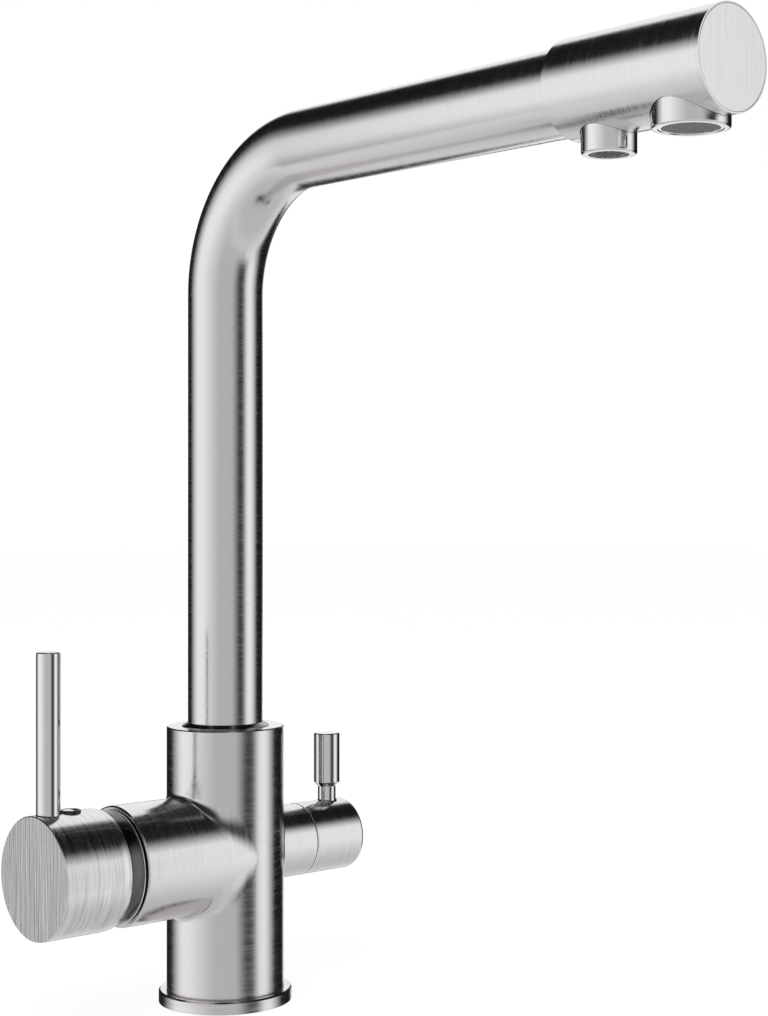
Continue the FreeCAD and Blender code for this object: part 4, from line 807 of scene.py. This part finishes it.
def studio_card(name, distance, turns, climbs, level):
    """Curved card with soft edges. Turns are degrees to the camera's right and climbs are degrees
    above the level; each gives where the card starts, is whole, is still whole and ends."""
    mesh = bpy.data.meshes.new(name)
    shape = bmesh.new()
    columns = math.ceil((turns[3] - turns[0]) / CARD_PATCH)
    rows = math.ceil((climbs[3] - climbs[0]) / CARD_PATCH)
    grid = []
    cover = []
    for row in range(rows + 1):
        climb = climbs[0] + (climbs[3] - climbs[0]) * row / rows
        line = []
        for column in range(columns + 1):
            turn = turns[0] + (turns[3] - turns[0]) * column / columns
            line.append(shape.verts.new(CARD_CENTRE + distance * direction(turn, climb)))
            inside = min(1.0, soft_cover(turn, turns), soft_cover(climb, climbs))
            cover.append(max(0.0, inside))
        grid.append(line)
    for row in range(rows):
        for column in range(columns):
            shape.faces.new((
                grid[row][column], grid[row][column + 1],
                grid[row + 1][column + 1], grid[row + 1][column],
            ))
    shape.to_mesh(mesh)
    shape.free()
    mesh.attributes.new("cover", "FLOAT", "POINT").data.foreach_set("value", cover)
    card = bpy.data.objects.new(name, mesh)
    bpy.context.scene.collection.objects.link(card)
    paint, shader, place = new_material(name)
    whole = place.node("ShaderNodeAttribute", {"attribute_name": "cover"}, {}, output=2)
    paint.node_tree.links.new(whole.socket, shader.inputs["Alpha"])
    shader.inputs["Base Color"].default_value = (0, 0, 0, 1)
    shader.inputs["Specular IOR Level"].default_value = 0.0
    shader.inputs["Emission Color"].default_value = (level, level, level, 1)
    shader.inputs["Emission Strength"].default_value = 1.0
    mesh.materials.append(paint)
    card.visible_camera = False
    card.visible_diffuse = False
    card.visible_shadow = False
    card.visible_transmission = False


studio_card("card_grey_front", 3.4, (-68, -14, 56, 62), (-40, -32, 30, 45), 0.55)
studio_card("card_grey_floor", 3.2, (-181, -180, 180, 181), (-90, -89, -52, -12), 0.60)
studio_card("flag_right_of_camera", 3.0, (28, 48, 61, 78), (-26, -19, 50, 60), 0.05)
studio_card("flag_high_front", 3.1, (-75, -60, 70, 80), (20, 38, 84, 88), 0.02)
studio_card("flag_behind_right", 2.8, (92, 118, 158, 168), (-30, -24, 80, 84), 0.01)
studio_card("flag_high_right", 2.6, (62, 74, 128, 134), (19, 38, 80, 84), 0.01)
studio_card("flag_behind_left", 2.4, (-168, -158, -122, -89), (-30, -24, 80, 84), 0.01)
studio_card("flag_high_left", 2.2, (-132, -126, -74, -62), (18, 39, 80, 84), 0.01)
studio_card("flag_low_behind", 2.0, (-184, -179, -158, -150), (-30, -24, -2, 2), 0.03)
studio_card("flag_level_behind", 1.8, (158, 164, 174, 178), (-7, -2, 6, 12), 0.03)

HALF_FLOOR = 6.0
FLOOR_LEVEL = -0.0002
FLOOR_GREY = 0.92
FLOOR_GLOW = 1.05
GLOW_SHARE = 0.85
floor_mesh = bpy.data.meshes.new("floor")
floor_corners = [
    (side * HALF_FLOOR, front * HALF_FLOOR, FLOOR_LEVEL)
    for side, front in ((-1, -1), (1, -1), (1, 1), (-1, 1))
]
floor_mesh.from_pydata(floor_corners, [], [(0, 1, 2, 3)])
floor = bpy.data.objects.new("floor", floor_mesh)
bpy.context.scene.collection.objects.link(floor)
floor_paint = bpy.data.materials.new("floor_white")
floor_paint.use_nodes = True
floor_tree = floor_paint.node_tree
floor_shader = floor_tree.nodes["Principled BSDF"]
floor_shader.inputs["Base Color"].default_value = (FLOOR_GREY, FLOOR_GREY, FLOOR_GREY, 1)
floor_shader.inputs["Roughness"].default_value = 0.9
floor_shader.inputs["Specular IOR Level"].default_value = 0.0
light_path = floor_tree.nodes.new("ShaderNodeLightPath")
seen_by_camera = Signal(floor_tree, light_path.outputs["Is Camera Ray"])
glow = seen_by_camera.node(
    "ShaderNodeEmission", {}, {"Color": (1, 1, 1, 1), "Strength": FLOOR_GLOW}
)
painted = Signal(floor_tree, floor_shader.outputs[0])
blend = seen_by_camera.node(
    "ShaderNodeMixShader", {}, {0: seen_by_camera * GLOW_SHARE, 1: painted, 2: glow}
)
floor_tree.links.new(blend.socket, floor_tree.nodes["Material Output"].inputs["Surface"])
floor_mesh.materials.append(floor_paint)
floor.visible_glossy = False

SURROUND_LIGHT = 0.72
world = bpy.data.worlds.new("white_surround")
bpy.context.scene.world = world
world.use_nodes = True
world_tree = world.node_tree
seen = world_tree.nodes.new("ShaderNodeLightPath")
straight = Signal(world_tree, seen.outputs["Is Camera Ray"])
mirrored = Signal(world_tree, seen.outputs["Is Glossy Ray"])
through = Signal(world_tree, seen.outputs["Is Transmission Ray"])
direct = straight.maths("MAXIMUM", straight.maths("MAXIMUM", straight, mirrored), through)
strength = SURROUND_LIGHT + (1 - SURROUND_LIGHT) * direct
background = world_tree.nodes["Background"]
background.inputs["Color"].default_value = (1, 1, 1, 1)
world_tree.links.new(strength.socket, background.inputs["Strength"])

LAMP_SIZE = 1.4
LAMP_POWER = 20.0
LAMP_PLACE = Vector((-1.1, -0.9, 1.9))
LAMP_TARGET = Vector((0, 0, 0.15))
lamp_data = bpy.data.lights.new("soft_lamp", "AREA")
lamp_data.shape = "DISK"
lamp_data.size = LAMP_SIZE
lamp_data.energy = LAMP_POWER
lamp = bpy.data.objects.new("soft_lamp", lamp_data)
lamp.location = LAMP_PLACE
lamp.rotation_euler = (LAMP_TARGET - LAMP_PLACE).to_track_quat("-Z", "Y").to_euler()
lamp.visible_glossy = False
bpy.context.scene.collection.objects.link(lamp)
bpy.context.scene.view_settings.view_transform = "Standard"
